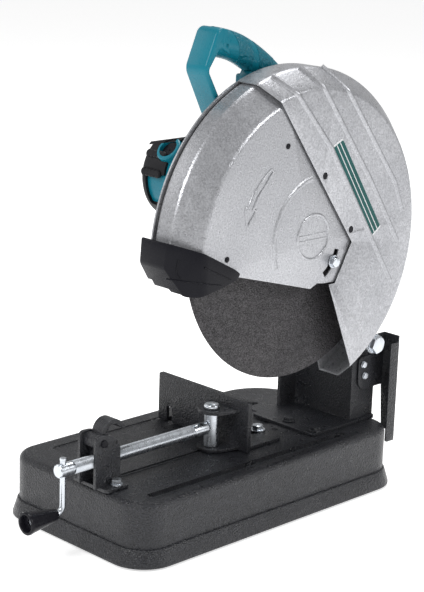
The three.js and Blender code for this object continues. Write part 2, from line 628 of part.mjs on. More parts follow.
function buildMotor() {
  const centre = [MOTOR.y, MOTOR.z];
  piece('motor_housing', motorHousing(), FINISH.teal);
  piece('motor_end_cap', motorEndCap(), FINISH.rubber);
  const bearing = ring('x', centre, -117.5, -109, 5.3, 13, ROUND.medium);
  piece('armature_bearing_outer', bearing, FINISH.steel);
  piece('stator', turned('x', centre, [
    [28, -76], [28, -44], [32, -38.5], [43, -38.5], [47.8, -44], [47.8, -74], [38, -74.5], [38, -80],
    [30, -80], [28, -76],
  ], ROUND.large), FINISH.copper);
  piece('armature', armature(), FINISH.steel);
  piece('cooling_fan', coolingFan(), FINISH.blackPlastic);
  Object.entries(BRUSH_ANGLES).forEach(([side, angle]) => {
    piece(`carbon_brush_${side}`, spoke(MOTOR.brushX, angle, 15.8, 34, 4.5, 4), FINISH.carbon);
    const slot = spoke(MOTOR.brushX, angle, 53.4, 60, 5.5, 4);
    const cap = cut(spoke(MOTOR.brushX, angle, 44, 54.6, 8.3, ROUND.medium), slot);
    piece(`brush_cap_${side}`, cap, FINISH.blackPlastic);
  });
}

// ---------------------------------------------------------------- guards

/** A dish about the guard's axis: rim, sloping shoulder and flat face, with the rim's edge at openX. */
function dish(openX, rimRadius, shoulderX, faceRadius, faceX) {
  const profile = [[0, openX], [rimRadius, openX], [rimRadius, shoulderX], [faceRadius, faceX], [0, faceX]];
  return turned('x', [GUARD.y, GUARD.z], profile, ROUND.guard);
}

/** A point beside the seam line: along runs from its upper end, aside is to the rear. */
function seamPoint(along, aside) {
  const [top, low] = SEAM.map((p) => new THREE.Vector2(...p));
  const length = top.distanceTo(low);
  const way = low.clone().sub(top).divideScalar(length);
  return [top.x + way.x * along - way.y * aside, top.y + way.y * along + way.x * aside];
}

const LOWER_FRONT = [[-260, 338], [-91, 325], [36, 290], [48, 295], [61, 293]];

function fixedGuard() {
  const g = GUARD;
  const t = g.sheet;
  const outer = dish(g.backX, g.outerRadius, g.outerShoulder, g.outerFaceRadius, g.outerFace);
  const inner = dish(
    g.backX + t, g.outerRadius - t, g.outerShoulder - 0.6, g.outerFaceRadius - 1, g.outerFace - t);
  const belowBack = [...LOWER_FRONT, [66, 291], [118, 170], [132, 130], [-260, 100]];
  const frontPart = [
    [-260, 100], [132, 130], [103, 196], [66, 291], [77, 291], SEAM[1], seamPoint(-90, 0), [-260, 620],
  ];
  const lockTab = join(
    plate('x', outline([[60, 303], [130, 303], [130, 330], [60, 330]], 6), 121, 123, 3),
    box(122, 128.5, 121, 130, 306, 327));
  const forward = plate('x', frontPart, g.backX + t + 0.01, 140);
  const shell = cut(outer, inner, plate('x', belowBack, 60, 140), forward);
  const spindleHole = rod('x', [SPINDLE.y, SPINDLE.z], 60, 80, 20, ROUND.large);
  const lockHole = rod('x', [LOCK.y, LOCK.z], 115, 126, 3.6, ROUND.small);
  return cut(join(shell, lockTab), spindleHole, lockHole);
}

function frontGuard() {
  const g = GUARD;
  const t = g.sheet;
  const edge = g.backX + 5;
  const outer = dish(edge, g.innerRadius, g.innerShoulder, g.innerFaceRadius, g.innerFace);
  const inner = dish(
    edge - 5, g.innerRadius - t, g.innerShoulder - 0.8, g.innerFaceRadius - 1, g.innerFace - t);
  const tuck = 11;
  const seam = [seamPoint(-160, tuck), seamPoint(222, tuck)];
  const beyondSeam = [...seam, [89, 290], [89, 80], [420, 80], [420, 700]];
  const below = [...LOWER_FRONT, [89, 292], [89, 60], [-260, 60]];
  const arc = circlePoints(g.y, g.z, LOCK.slotRadius - 4, LOCK.slotFrom, LOCK.slotTo, 6);
  const back = circlePoints(g.y, g.z, LOCK.slotRadius + 4, LOCK.slotTo, LOCK.slotFrom, 6);
  const slot = plate('x', [...arc, ...back], 110, 140);
  return cut(outer, inner, plate('x', beyondSeam, 60, 140), plate('x', below, 60, 140), slot);
}

/** The moulded nose that closes the front of the guard and throws the sparks down. */
function noseDeflector() {
  const side = outline([
    [-184, 374], [-147, 361], [-97, 335], [-89, 329], [-94, 323], [-118, 317], [-150, 311], [-165, 312],
    [-171, 321], [-186, 345],
  ], 3);
  const plan = outline([
    [70, -190, 0.1], [107, -190], [132.5, -146], [132.5, -80, 0.1], [70, -80, 0.1],
  ], 5);
  const inPlan = outline([
    [73, -187, 0.1], [106, -187], [129.5, -145], [129.5, -60, 0.1], [73, -60, 0.1],
  ], 3);
  const inSide = [
    [-181, 371], [-147, 358.5], [-80, 325], [-80, 290], [-162, 290], [-168, 322], [-183, 346],
  ];
  const outer = plate('x', side, 60, 140, 3).intersect(plate('z', plan, 290, 390, 3));
  const inner = plate('x', inSide, 60, 140).intersect(plate('z', inPlan, 280, 400, 3));
  const g = GUARD;
  const clearance = dish(
    g.backX + 4, g.innerRadius + 0.6, g.innerShoulder + 0.4, g.innerFaceRadius + 0.4, g.innerFace + 0.5);
  const backClearance = rod('x', [g.y, g.z], 60, g.backX + 4.5, g.outerRadius + 1.2, ROUND.guard);
  const body = cut(outer, inner, clearance, backClearance);
  return body.decompose().sort((a, b) => b.volume() - a.volume())[0];
}

function buildGuards() {
  piece('fixed_guard', fixedGuard(), FINISH.silver);
  piece('front_guard', frontGuard(), FINISH.silver);
  piece('nose_deflector', noseDeflector(), FINISH.blackPlastic);
  const lockBolt = { shank: 3, length: 8, across: 12, washer: 8, height: 5 };
  piece('guard_lock_bolt', bolt('x', [LOCK.y, LOCK.z], GUARD.innerFace + GAP, 1, lockBolt), FINISH.zinc);
}

// ---------------------------------------------------------------- handle

function handleBody() {
  const { x, half, round } = HANDLE;
  const geometry = new THREE.ExtrudeGeometry(outline(HANDLE_OUTSIDE), {
    depth: 2 * (half - round),
    bevelThickness: round,
    bevelSize: round,
    bevelOffset: -round,
    bevelSegments: 2,
    curveSegments: 3,
  });
  const body = solid(geometry.translate(0, 0, x - half + round).applyMatrix4(AXES.x));
  return cut(body, plate('x', outline(HANDLE_OPENING), 0, 100));
}

function buildHandle() {
  const { x, half } = HANDLE;
  const switchRoom = box(x - 10.5, x + 10.5, 14, 62, 482, 530);
  const roomPlan = outline([[-20, 505], [18, 505], [18, 554], [-8, 558]], 2);
  const triggerRoom = plate('x', roomPlan, x - 8.5, x + 8.5);
  const buttonHole = rod('x', LOCK_BUTTON, x - 30, x + 30, 4.5, ROUND.small);
  const shell = cut(handleBody(), switchRoom, triggerRoom, buttonHole);
  const low = box(0, x - GAP / 2, -200, 200, 300, 700);
  const high = box(x + GAP / 2, 100, -200, 200, 300, 700);
  piece('handle_left', shell.intersect(low), FINISH.teal);
  piece('handle_right', shell.intersect(high), FINISH.teal);
  piece('power_switch', box(x - 10, x + 10, 17, 60, 484, 528), FINISH.blackPlastic);
  const triggerPlan = outline([
    [-10, 518], [-11, 538], [-3, 549], [6, 549], [10, 540], [8, 514], [-1, 509],
  ], 4);
  piece('trigger', plate('x', triggerPlan, x - 8, x + 8), FINISH.blackPlastic);
  const button = join(
    rod('x', LOCK_BUTTON, x - half - 4, x - 4, 4, ROUND.small),
    rod('x', LOCK_BUTTON, x - half - 7, x - half - 3.4, 6, ROUND.small));
  piece('lock_button', button, FINISH.blackPlastic);
  const glandProfile = [[4.2, 86.4], [11, 86.4], [10, 92], [7, 108], [4.2, 108], [4.2, 86.4]];
  piece('cord_gland', turned('y', [x, 470], glandProfile, ROUND.small), FINISH.rubber);
}

// ---------------------------------------------------------------- assembly

buildBase();
buildFence();
buildVise();
buildPivot();
buildDrive();
buildMotor();
buildGuards();
buildHandle();

saw.position.set(...CENTRE_SHIFT);
const chopSaw = new THREE.Group();
chopSaw.add(saw);

export default chopSaw;
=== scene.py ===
import json
import logging
import math
from collections.abc import Callable
from dataclasses import dataclass
from enum import Enum

import bmesh
import bpy
from mathutils import Matrix, Vector


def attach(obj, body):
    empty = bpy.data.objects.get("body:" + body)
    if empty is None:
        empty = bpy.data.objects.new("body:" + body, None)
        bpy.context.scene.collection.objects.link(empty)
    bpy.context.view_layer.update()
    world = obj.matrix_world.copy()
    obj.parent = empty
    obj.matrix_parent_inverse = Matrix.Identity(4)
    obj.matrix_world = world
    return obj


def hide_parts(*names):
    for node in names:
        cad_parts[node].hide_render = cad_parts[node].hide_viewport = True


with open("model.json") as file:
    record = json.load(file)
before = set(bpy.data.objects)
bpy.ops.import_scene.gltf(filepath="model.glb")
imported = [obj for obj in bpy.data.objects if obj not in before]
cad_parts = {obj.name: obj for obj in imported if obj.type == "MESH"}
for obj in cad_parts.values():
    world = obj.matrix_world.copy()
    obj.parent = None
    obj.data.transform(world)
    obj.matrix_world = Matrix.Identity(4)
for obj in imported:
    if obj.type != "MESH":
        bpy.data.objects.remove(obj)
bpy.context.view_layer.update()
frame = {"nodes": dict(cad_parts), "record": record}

LOG = logging.getLogger("chop_saw")

Point2 = tuple[float, float]
Point3 = tuple[float, float, float]
Corner = tuple[float, ...]
Socket = bpy.types.NodeSocket
Tree = bpy.types.NodeTree

# The saw's own millimetres: X = Y = 0 in the middle of the base, Z = 0 at the rim of its skirt.
SAW_ORIGIN = Vector((-2.05, 39.0, 3.0))
MM = 0.001
TO_ROW = Matrix.Scale(MM, 4) @ Matrix.Translation(SAW_ORIGIN)
TO_SAW = TO_ROW.inverted()

# The clearance between bolted pieces, the height of the base's deck and the plane that the wheel
# turns in; then the wheel's and the motor's axes (Y, Z), and the fence's two bolts (X, Y).
GAP = 0.3
DECK = 77.0
WHEEL_X = 100.0
SPINDLE: Point2 = (33.0, 355.0)
MOTOR: Point2 = (48.0, 390.0)
FENCE_PIVOT: Point2 = (-62.0, 46.0)
FENCE_CLAMP: Point2 = (31.0, 57.0)


class Axis(Enum):
    """The direction a plate or a turned piece runs along, with the basis its drawing lies in."""

    X = Matrix(((0, 0, 1), (1, 0, 0), (0, 1, 0)))
    Y = Matrix(((1, 0, 0), (0, 0, 1), (0, 1, 0)))
    Z = Matrix(((1, 0, 0), (0, 1, 0), (0, 0, 1)))

    def place(self, a: float, b: float, station: float) -> Vector:
        """The point at drawing coordinates a and b, at a station along the axis."""
        return self.value @ Vector((a, b, station))

    @property
    def way(self) -> Vector:
        """The unit vector along the axis."""
        return self.value @ Vector((0, 0, 1))


class Cut(Enum):
    """How one form meets another."""

    AWAY = "DIFFERENCE"
    JOIN = "UNION"
    KEEP = "INTERSECT"


# ---------------------------------------------------------------- finishes


@dataclass(frozen=True)
class Finish:
    """A finish with mottling, grain, relief and a painted highlight along its edges.

    Args:
        name: The finish's name, which its material takes.
        slot: The record's material slot.
        colour: Main colour, linear.
        second: The colour it drifts to.
        metal: How metallic it is.
        rough: Lowest and highest roughness.
        mottle: Size of the colour drift, in cells per metre.
        grain: Size of the relief, in cells per metre.
        relief: Depth of the relief in metres.
        cells: True where the relief is made of rounded cells, as wrinkle paint is.
        speckle: Strength of fine light and dark specks.
        edge_highlight: Colour of the painted highlight along edges, or None.
        stretch: Scale of the grain along X, Y and Z.
        gloss: How strongly the surface mirrors light, 0.5 for most plastics.
    """

    name: str
    slot: str
    colour: Point3
    second: Point3
    metal: float = 0.0
    rough: Point2 = (0.4, 0.6)
    mottle: float = 14.0
    grain: float = 600.0
    relief: float = 0.0001
    cells: bool = False
    speckle: float = 0.0
    edge_highlight: Point3 | None = None
    stretch: Point3 = (1.0, 1.0, 1.0)
    gloss: float = 0.5

    def material(self) -> bpy.types.Material:
        """The finish's material, made once.

        Returns:
            The node material.
        """
        made = bpy.data.materials.get(self.name)
        if made:
            return made
        material = bpy.data.materials.new(self.name)
        material.use_nodes = True
        tree = material.node_tree
        shader = tree.nodes["Principled BSDF"]
        shader.inputs["Metallic"].default_value = self.metal
        shader.inputs["Specular IOR Level"].default_value = self.gloss
        coords = tree.nodes.new("ShaderNodeTexCoord")
        mapping = tree.nodes.new("ShaderNodeMapping")
        mapping.inputs["Scale"].default_value = self.stretch
        tree.links.new(coords.outputs["Object"], mapping.inputs["Vector"])
        drift = self._noise(tree, coords.outputs["Object"], self.mottle, 4.0)
        grain = self._noise(tree, mapping.outputs["Vector"], self.grain, 3.0)
        coarse = self._noise(tree, mapping.outputs["Vector"], self.grain * 0.2, 3.0)
        colour = self._mix(tree, drift, self.colour, self.second)
        if self.speckle:
            colour = self._specks(tree, coords.outputs["Object"], colour)
        # Painted highlight: edges are lightened towards a paler colour.
        if self.edge_highlight:
            colour = self._paint_edge_highlight(tree, colour)
        tree.links.new(colour, shader.inputs["Base Color"])
        tree.links.new(self._range(tree, coarse, *self.rough), shader.inputs["Roughness"])
        height = self._cell_height(tree, coords.outputs["Object"], grain) if self.cells else grain
        bump = tree.nodes.new("ShaderNodeBump")
        bump.inputs["Strength"].default_value = 1.0
        bump.inputs["Distance"].default_value = self.relief
        tree.links.new(height, bump.inputs["Height"])
        tree.links.new(bump.outputs["Normal"], shader.inputs["Normal"])
        return material

    @staticmethod
    def _noise(tree: Tree, vector: Socket, scale: float, detail: float) -> Socket:
        """A noise value.

        Args:
            tree: The material's nodes.
            vector: Where the noise is read.
            scale: Its size, in cells per metre.
            detail: How many finer layers it has.

        Returns:
            The value's socket.
        """
        node = tree.nodes.new("ShaderNodeTexNoise")
        node.inputs["Scale"].default_value = scale
        node.inputs["Detail"].default_value = detail
        tree.links.new(vector, node.inputs["Vector"])
        return node.outputs["Fac"]

    @staticmethod
    def _range(tree: Tree, value: Socket, low: float, high: float) -> Socket:
        """The middle part of a noise value, spread over a range.

        Args:
            tree: The material's nodes.
            value: The noise value.
            low: The range's low end.
            high: The range's high end.

        Returns:
            The spread value's socket.
        """
        node = tree.nodes.new("ShaderNodeMapRange")
        node.inputs["From Min"].default_value = 0.35
        node.inputs["From Max"].default_value = 0.65
        node.inputs["To Min"].default_value = low
        node.inputs["To Max"].default_value = high
        tree.links.new(value, node.inputs["Value"])
        return node.outputs["Result"]

    def _mix(self, tree: Tree, value: Socket, first: Point3, second: Point3) -> Socket:
        """A colour that drifts between two with a noise value.

        Args:
            tree: The material's nodes.
            value: The noise value.
            first: The colour at the low end.
            second: The colour at the high end.

        Returns:
            The colour's socket.
        """
        node = tree.nodes.new("ShaderNodeMix")
        node.data_type = "RGBA"
        node.inputs["A"].default_value = (*first, 1.0)
        node.inputs["B"].default_value = (*second, 1.0)
        tree.links.new(self._range(tree, value, 0.0, 1.0), node.inputs["Factor"])
        return node.outputs["Result"]

    def _specks(self, tree: Tree, vector: Socket, colour: Socket) -> Socket:
        """Fine light and dark specks over a colour.

        Args:
            tree: The material's nodes.
            vector: Where the specks are read.
            colour: The colour under them.

        Returns:
            The speckled colour's socket.
        """
        noise = self._noise(tree, vector, self.grain, 2.0)
        fine = self._range(tree, noise, 1 - self.speckle, 1 + self.speckle)
        node = tree.nodes.new("ShaderNodeVectorMath")
        node.operation = "SCALE"
        tree.links.new(colour, node.inputs[0])
        tree.links.new(fine, node.inputs["Scale"])
        return node.outputs["Vector"]

    def _paint_edge_highlight(self, tree: Tree, colour: Socket) -> Socket:
        """A colour with a painted highlight: lighter where the surface turns an edge.

        Args:
            tree: The material's nodes.
            colour: The colour away from the edges.

        Returns:
            The rubbed colour's socket.
        """
        # Painted highlight: the mask below lightens the colour where the surface turns an edge.
        soft = tree.nodes.new("ShaderNodeBevel")
        soft.samples = 4
        soft.inputs["Radius"].default_value = 0.0011
        sharp = tree.nodes.new("ShaderNodeNewGeometry")
        dot = tree.nodes.new("ShaderNodeVectorMath")
        dot.operation = "DOT_PRODUCT"
        tree.links.new(soft.outputs["Normal"], dot.inputs[0])
        tree.links.new(sharp.outputs["True Normal"], dot.inputs[1])
        edge = tree.nodes.new("ShaderNodeMapRange")
        edge.inputs["From Min"].default_value = 0.985
        edge.inputs["From Max"].default_value = 0.80
        edge.inputs["To Max"].default_value = 0.55
        tree.links.new(dot.outputs["Value"], edge.inputs["Value"])
        node = tree.nodes.new("ShaderNodeMix")
        node.data_type = "RGBA"
        node.inputs["B"].default_value = (*self.edge_highlight, 1.0)
        tree.links.new(colour, node.inputs["A"])
        tree.links.new(edge.outputs["Result"], node.inputs["Factor"])
        return node.outputs["Result"]

    def _cell_height(self, tree: Tree, vector: Socket, grain: Socket) -> Socket:
        """The height of wrinkle paint: rounded cells, broken up by a finer grain.

        Args:
            tree: The material's nodes.
            vector: Where the cells are read.
            grain: The finer grain.

        Returns:
            The height's socket.
        """
        warp = tree.nodes.new("ShaderNodeVectorMath")
        warp.operation = "MULTIPLY_ADD"
        noise = tree.nodes.new("ShaderNodeTexNoise")
        noise.inputs["Scale"].default_value = self.grain * 0.8
        tree.links.new(vector, noise.inputs["Vector"])
        tree.links.new(noise.outputs["Color"], warp.inputs[0])
        warp.inputs[1].default_value = (0.0012, 0.0012, 0.0012)
        tree.links.new(vector, warp.inputs[2])
        cells = tree.nodes.new("ShaderNodeTexVoronoi")
        cells.feature = "SMOOTH_F1"
        cells.inputs["Scale"].default_value = self.grain
        cells.inputs["Smoothness"].default_value = 0.6
        tree.links.new(warp.outputs["Vector"], cells.inputs["Vector"])
        node = tree.nodes.new("ShaderNodeMath")
        node.operation = "ADD"
        tree.links.new(cells.outputs["Distance"], node.inputs[0])
        tree.links.new(grain, node.inputs[1])
        return node.outputs["Value"]


# The wrinkle powder and the silver powder carry a painted highlight along their edges.
WRINKLE = Finish(
    "wrinkle_powder", "powder_black", (0.010, 0.0106, 0.0135), (0.0165, 0.0173, 0.021), rough=(0.26, 0.38),
    mottle=9, grain=520, relief=0.0008, cells=True, speckle=0.6, edge_highlight=(0.055, 0.058, 0.065), gloss=0.45)
SILVER = Finish(
    "silver_powder", "guard_silver", (0.36, 0.365, 0.385), (0.42, 0.425, 0.445), metal=0.6,
    rough=(0.26, 0.38), mottle=8, grain=520, relief=0.0003, speckle=0.2, edge_highlight=(0.62, 0.63, 0.65))
TEAL = Finish(
    "teal_moulding", "teal_plastic", (0.002, 0.140, 0.195), (0.003, 0.168, 0.23), rough=(0.26, 0.36),
    mottle=10, grain=1500, relief=0.00006, gloss=0.28)
TEAL_DIMPLED = Finish(
    "teal_dimpled", "teal_plastic", (0.002, 0.115, 0.16), (0.003, 0.14, 0.195), rough=(0.3, 0.4),
    mottle=10, grain=210, relief=0.0016, cells=True, gloss=0.3)
BLACK = Finish(
    "black_moulding", "black_plastic", (0.006, 0.006, 0.009), (0.009, 0.009, 0.012), rough=(0.22, 0.32),
    mottle=12, grain=1200, relief=0.00007, gloss=0.12)
RUBBER = Finish(
    "black_rubber", "rubber_black", (0.008, 0.008, 0.010), (0.013, 0.013, 0.015), rough=(0.45, 0.6),
    mottle=12, grain=900, relief=0.00012, gloss=0.2)
ZINC = Finish(
    "zinc_plate", "zinc_plated", (0.56, 0.59, 0.63), (0.62, 0.65, 0.69), metal=1, rough=(0.24, 0.34),
    mottle=40, grain=700, relief=0.00004)
STEEL = Finish(
    "machined_steel", "steel", (0.40, 0.41, 0.43), (0.50, 0.51, 0.53), metal=1, rough=(0.28, 0.42),
    mottle=40, grain=900, relief=0.00004, stretch=(0.1, 1, 1))
GRIT = Finish(
    "bonded_grit", "abrasive", (0.028, 0.026, 0.029), (0.040, 0.037, 0.040), rough=(0.5, 0.75),
    mottle=12, grain=560, relief=0.0012, cells=True, speckle=0.95)
COPPER = Finish(
    "copper_winding", "copper_winding", (0.45, 0.16, 0.06), (0.55, 0.22, 0.09), metal=0.9, rough=(0.3, 0.45),
    mottle=40, grain=900, relief=0.0002)
CARBON = Finish(
    "pressed_carbon", "carbon", (0.02, 0.02, 0.02), (0.035, 0.035, 0.035), metal=0.1, rough=(0.6, 0.8),
    mottle=40, grain=900, relief=0.0001)
LABEL = Finish(
    "label_film", "black_plastic", (0.012, 0.075, 0.070), (0.014, 0.09, 0.085), rough=(0.25, 0.35),
    mottle=30, grain=400, relief=0.00002, gloss=0.15)
LABEL_EDGE = Finish(
    "label_edge", "black_plastic", (0.60, 0.61, 0.62), (0.66, 0.67, 0.68), rough=(0.3, 0.4),
    mottle=30, grain=400, relief=0.00002)


# ---------------------------------------------------------------- forms


SMOOTH_UNDER = math.radians(38)


class Form:
    """One mesh in the saw's own millimetres, and the operators that shape it."""

    def __init__(self) -> None:
        """Starts with an empty mesh."""
        self.mesh = bmesh.new()

    @classmethod
    def turned(cls, axis: Axis, centre: Point2, profile: list[Point2], segments: int = 64) -> "Form":
        """A piece turned on a lathe.

        Args:
            axis: The lathe's axis.
            centre: Where the axis is, in the drawing's two coordinates.
            profile: Points of (radius, station), open from axis to axis or closed in a ring.
            segments: Steps round the axis.

        Returns:
            The closed form.
        """
        form = cls()
        a, b = centre
        closed = profile[0] == profile[-1]
        points = profile[:-1] if closed else profile
        verts = [form.mesh.verts.new(axis.place(a + r, b, s)) for r, s in points]
        edges = [form.mesh.edges.new(pair) for pair in zip(verts, verts[1:])]
        if closed:
            edges.append(form.mesh.edges.new((verts[-1], verts[0])))
        bmesh.ops.spin(form.mesh, geom=verts + edges, cent=axis.place(a, b, 0), axis=axis.way,
                       dvec=(0, 0, 0), angle=2 * math.pi, steps=segments, use_merge=True)
        return form.clean()

    @classmethod
    def plate(cls, axis: Axis, outline: list[Corner], start: float, stop: float, reach: float = 0.0,
              steps: int = 5) -> "Form":
        """A flat piece cut to an outline whose corners are rounded.

        Args:
            axis: The direction of its thickness.
            outline: Corners (a, b), or (a, b, reach) for a corner with its own rounding.
            start: Where its thickness starts.
            stop: Where its thickness ends.
            reach: How far the rounding of a corner reaches along its sides.
            steps: Facets in each rounded corner.

        Returns:
            The closed form.
        """
        form = cls()
        verts = [form.mesh.verts.new(axis.place(p[0], p[1], start)) for p in outline]
        face = form.mesh.faces.new(verts)
        made = bmesh.ops.extrude_face_region(form.mesh, geom=[face])
        moved = [item for item in made["geom"] if isinstance(item, bmesh.types.BMVert)]
        bmesh.ops.translate(form.mesh, verts=moved, vec=axis.way * (stop - start))
        bmesh.ops.recalc_face_normals(form.mesh, faces=form.mesh.faces)
        wanted: dict[float, list[Vector]] = {}
        for corner in outline:
            own = corner[2] if len(corner) > 2 else reach
            if own > 0:
                wanted.setdefault(own, []).append(axis.place(corner[0], corner[1], start))
        for own, places in wanted.items():
            form.bevel([e for e in form.mesh.edges if form._stands_on(e, axis, places)], own, steps)
        return form

    @staticmethod
    def _stands_on(edge: bmesh.types.BMEdge, axis: Axis, places: list[Vector]) -> bool:
        """Tells whether an edge runs along the axis from one of some places.

        Args:
            edge: The edge.
            axis: The axis.
            places: The places.

        Returns:
            True if it does.
        """
        first, second = edge.verts
        way = second.co - first.co
        if way.length < 1e-6 or abs(way.normalized().dot(axis.way)) < 0.999:
            return False
        return any(min((first.co - p).length, (second.co - p).length) < 1e-3 for p in places)

    @classmethod
    def rod(cls, axis: Axis, centre: Point2, start: float, stop: float, radius: float, segments: int = 40,
            edge: float = 0.0) -> "Form":
        """A round bar along an axis.

        Args:
            axis: The bar's axis.
            centre: Where it is, in the drawing's two coordinates.
            start: The station of its first end.
            stop: The station of its last end.
            radius: Its radius.
            segments: Facets round it.
            edge: Width of the broken edges at its ends, or 0 for none.

        Returns:
            The closed form.
        """
        if edge:
            profile = [(0, start), (radius - edge, start), (radius, start + edge), (radius, stop - edge),
                       (radius - edge, stop), (0, stop)]
        else:
            profile = [(0, start), (radius, start), (radius, stop), (0, stop)]
        return cls.turned(axis, centre, profile, segments)

    @classmethod
    def bent(cls, points: list[Point3], radius: float, sides: int = 12, steps: int = 8) -> "Form":
        """A round bar or bead that follows points on a smooth path.

        Args:
            points: The path's points, in saw millimetres.
            radius: The bar's radius.
            sides: Facets round the bar.
            steps: Steps between points; 1 keeps straight runs.

        Returns:
            The closed form.
        """
        curve = bpy.data.curves.new("path", "CURVE")
        curve.dimensions = "3D"
        curve.bevel_depth = radius
        curve.bevel_resolution = max(sides // 4, 1)
        curve.use_fill_caps = True
        spline = curve.splines.new("POLY" if steps == 1 else "NURBS")
        spline.points.add(len(points) - 1)
        for place, point in zip(points, spline.points):
            point.co = (*place, 1.0)
        if steps > 1:
            spline.use_endpoint_u = True
            spline.order_u = 4
            spline.resolution_u = steps
        holder = bpy.data.objects.new("path", curve)
        bpy.context.scene.collection.objects.link(holder)
        mesh = bpy.data.meshes.new_from_object(holder.evaluated_get(bpy.context.evaluated_depsgraph_get()))
        form = cls()
        form.mesh.from_mesh(mesh)
        bpy.data.objects.remove(holder)
        bpy.data.curves.remove(curve)
        bpy.data.meshes.remove(mesh)
        return form.clean()

    @classmethod
    def of_node(cls, name: str, bevel: float = 0.5, angle: float = 42.0) -> "Form":
        """A copy of a CAD node, merged and with its edges broken.

        Args:
            name: The node's name.
            bevel: Width of the broken edges, or 0 for none.
            angle: The least angle, in degrees, that counts as an edge.

        Returns:
            The closed form.
        """
        form = cls()
        form.mesh.from_mesh(frame["nodes"][name].data)
        bmesh.ops.transform(form.mesh, matrix=TO_SAW, verts=form.mesh.verts)
        bmesh.ops.remove_doubles(form.mesh, verts=form.mesh.verts, dist=2e-3)
        flat = math.radians(0.8)
        bmesh.ops.dissolve_limit(form.mesh, angle_limit=flat, verts=form.mesh.verts, edges=form.mesh.edges)
        if bevel:
            form.break_edges(bevel, 2, angle)
        return form

    def clean(self) -> "Form":
        """Merges doubles and points the faces outwards.

        Returns:
            The same form.
        """
        bmesh.ops.remove_doubles(self.mesh, verts=self.mesh.verts, dist=1e-3)
        bmesh.ops.recalc_face_normals(self.mesh, faces=self.mesh.faces)
        return self

    def bevel(self, edges: list[bmesh.types.BMEdge], width: float, segments: int) -> None:
        """Bevels edges.

        Args:
            edges: The edges.
            width: The bevel's width.
            segments: Facets across it.
        """
        bmesh.ops.bevel(self.mesh, geom=edges, offset=width, offset_type="OFFSET", segments=segments,
                        profile=0.5, affect="EDGES", material=-1, clamp_overlap=True)

    def break_edges(self, width: float, segments: int = 2, angle: float = 42.0,
                    where: Callable[[Vector], bool] = lambda middle: True) -> "Form":
        """Bevels the edges that turn by more than an angle.

        Args:
            width: The bevel's width.
            segments: Facets across it.
            angle: The least turn, in degrees.
            where: Keeps an edge by its middle point.

        Returns:
            The same form.
        """
        least = math.radians(angle)
        self.bevel([e for e in self.mesh.edges
                    if len(e.link_faces) == 2 and e.calc_face_angle(0.0) > least
                    and where((e.verts[0].co + e.verts[1].co) / 2)], width, segments)
        return self

    def meet(self, other: "Form", how: Cut) -> "Form":
        """Cuts, joins or intersects this form with another, which is used up.

        Args:
            other: The other form.
            how: What is done.

        Returns:
            The same form.
        """
        first = self._holder("first")
        second = other._holder("second")
        modifier = first.modifiers.new("meet", "BOOLEAN")
        modifier.operation = how.value
        modifier.solver = "EXACT"
        modifier.object = second
        depsgraph = bpy.context.evaluated_depsgraph_get()
        mesh = bpy.data.meshes.new_from_object(first.evaluated_get(depsgraph))
        self.mesh.free()
        self.mesh = bmesh.new()
        self.mesh.from_mesh(mesh)
        for holder in (first, second):
            old = holder.data
            bpy.data.objects.remove(holder)
            bpy.data.meshes.remove(old)
        bpy.data.meshes.remove(mesh)
        other.mesh.free()
        return self

    def less(self, *others: "Form") -> "Form":
        """Cuts other forms away.

        Args:
            *others: The forms, which are used up.

        Returns:
            The same form.
        """
        for other in others:
            self.meet(other, Cut.AWAY)
        return self

    def plus(self, *others: "Form") -> "Form":
        """Joins other forms on.

        Args:
            *others: The forms, which are used up.

        Returns:
            The same form.
        """
        for other in others:
            self.meet(other, Cut.JOIN)
        return self

    def beside(self, *others: "Form") -> "Form":
        """Puts other forms in the same mesh, where they stay separate shells.

        Args:
            *others: The forms, which are used up.

        Returns:
            The same form.
        """
        for other in others:
            carrier = bpy.data.meshes.new("carrier")
            other.mesh.to_mesh(carrier)
            self.mesh.from_mesh(carrier)
            bpy.data.meshes.remove(carrier)
            other.mesh.free()
        return self

    def turn(self, degrees: float, axis: Axis, pivot: Point3) -> "Form":
        """Turns the form about a line along an axis.

        Args:
            degrees: How far it turns.
            axis: The line's direction.
            pivot: A point on the line.

        Returns:
            The same form.
        """
        turning = Matrix.Rotation(math.radians(degrees), 3, axis.way)
        bmesh.ops.rotate(self.mesh, cent=pivot, matrix=turning, verts=self.mesh.verts)
        return self

    def _holder(self, name: str) -> bpy.types.Object:
        """Puts the mesh in a throwaway object.

        Args:
            name: The object's name.

        Returns:
            The object.
        """
        bmesh.ops.triangulate(self.mesh, faces=[f for f in self.mesh.faces if len(f.verts) > 4])
        mesh = bpy.data.meshes.new(name)
        self.mesh.to_mesh(mesh)
        holder = bpy.data.objects.new(name, mesh)
        bpy.context.scene.collection.objects.link(holder)
        return holder

    def shown(self, name: str, finish: Finish, body: str, *nodes: str) -> None:
        """Makes the form a piece of the saw, which uses the form up.

        Args:
            name: The piece's name.
            finish: Its finish.
            body: The CAD body it rides on.
            *nodes: The CAD nodes it stands for.
        """
        bmesh.ops.transform(self.mesh, matrix=TO_ROW, verts=self.mesh.verts)
        for face in self.mesh.faces:
            face.smooth = True
        for edge in self.mesh.edges:
            edge.smooth = len(edge.link_faces) == 2 and edge.calc_face_angle(0.0) < SMOOTH_UNDER
        mesh = bpy.data.meshes.new(name)
        self.mesh.to_mesh(mesh)
        self.mesh.free()
        mesh.materials.append(finish.material())
        piece = bpy.data.objects.new(name, mesh)
        bpy.context.scene.collection.objects.link(piece)
        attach(piece, body)
        if nodes:
            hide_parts(*nodes)
        LOG.info("%s: %d faces on %s", name, len(mesh.polygons), body)


def around(centre: Point2, radius: float, degrees: float) -> Point2:
    """The point at a radius and an angle about a centre, in a drawing's two coordinates."""
    angle = math.radians(degrees)
    return centre[0] + radius * math.cos(angle), centre[1] + radius * math.sin(angle)


@dataclass
class SubAssembly:
    """A group of pieces that is built together."""

    def build(self) -> None:
        """Builds every piece of the group."""
        raise NotImplementedError


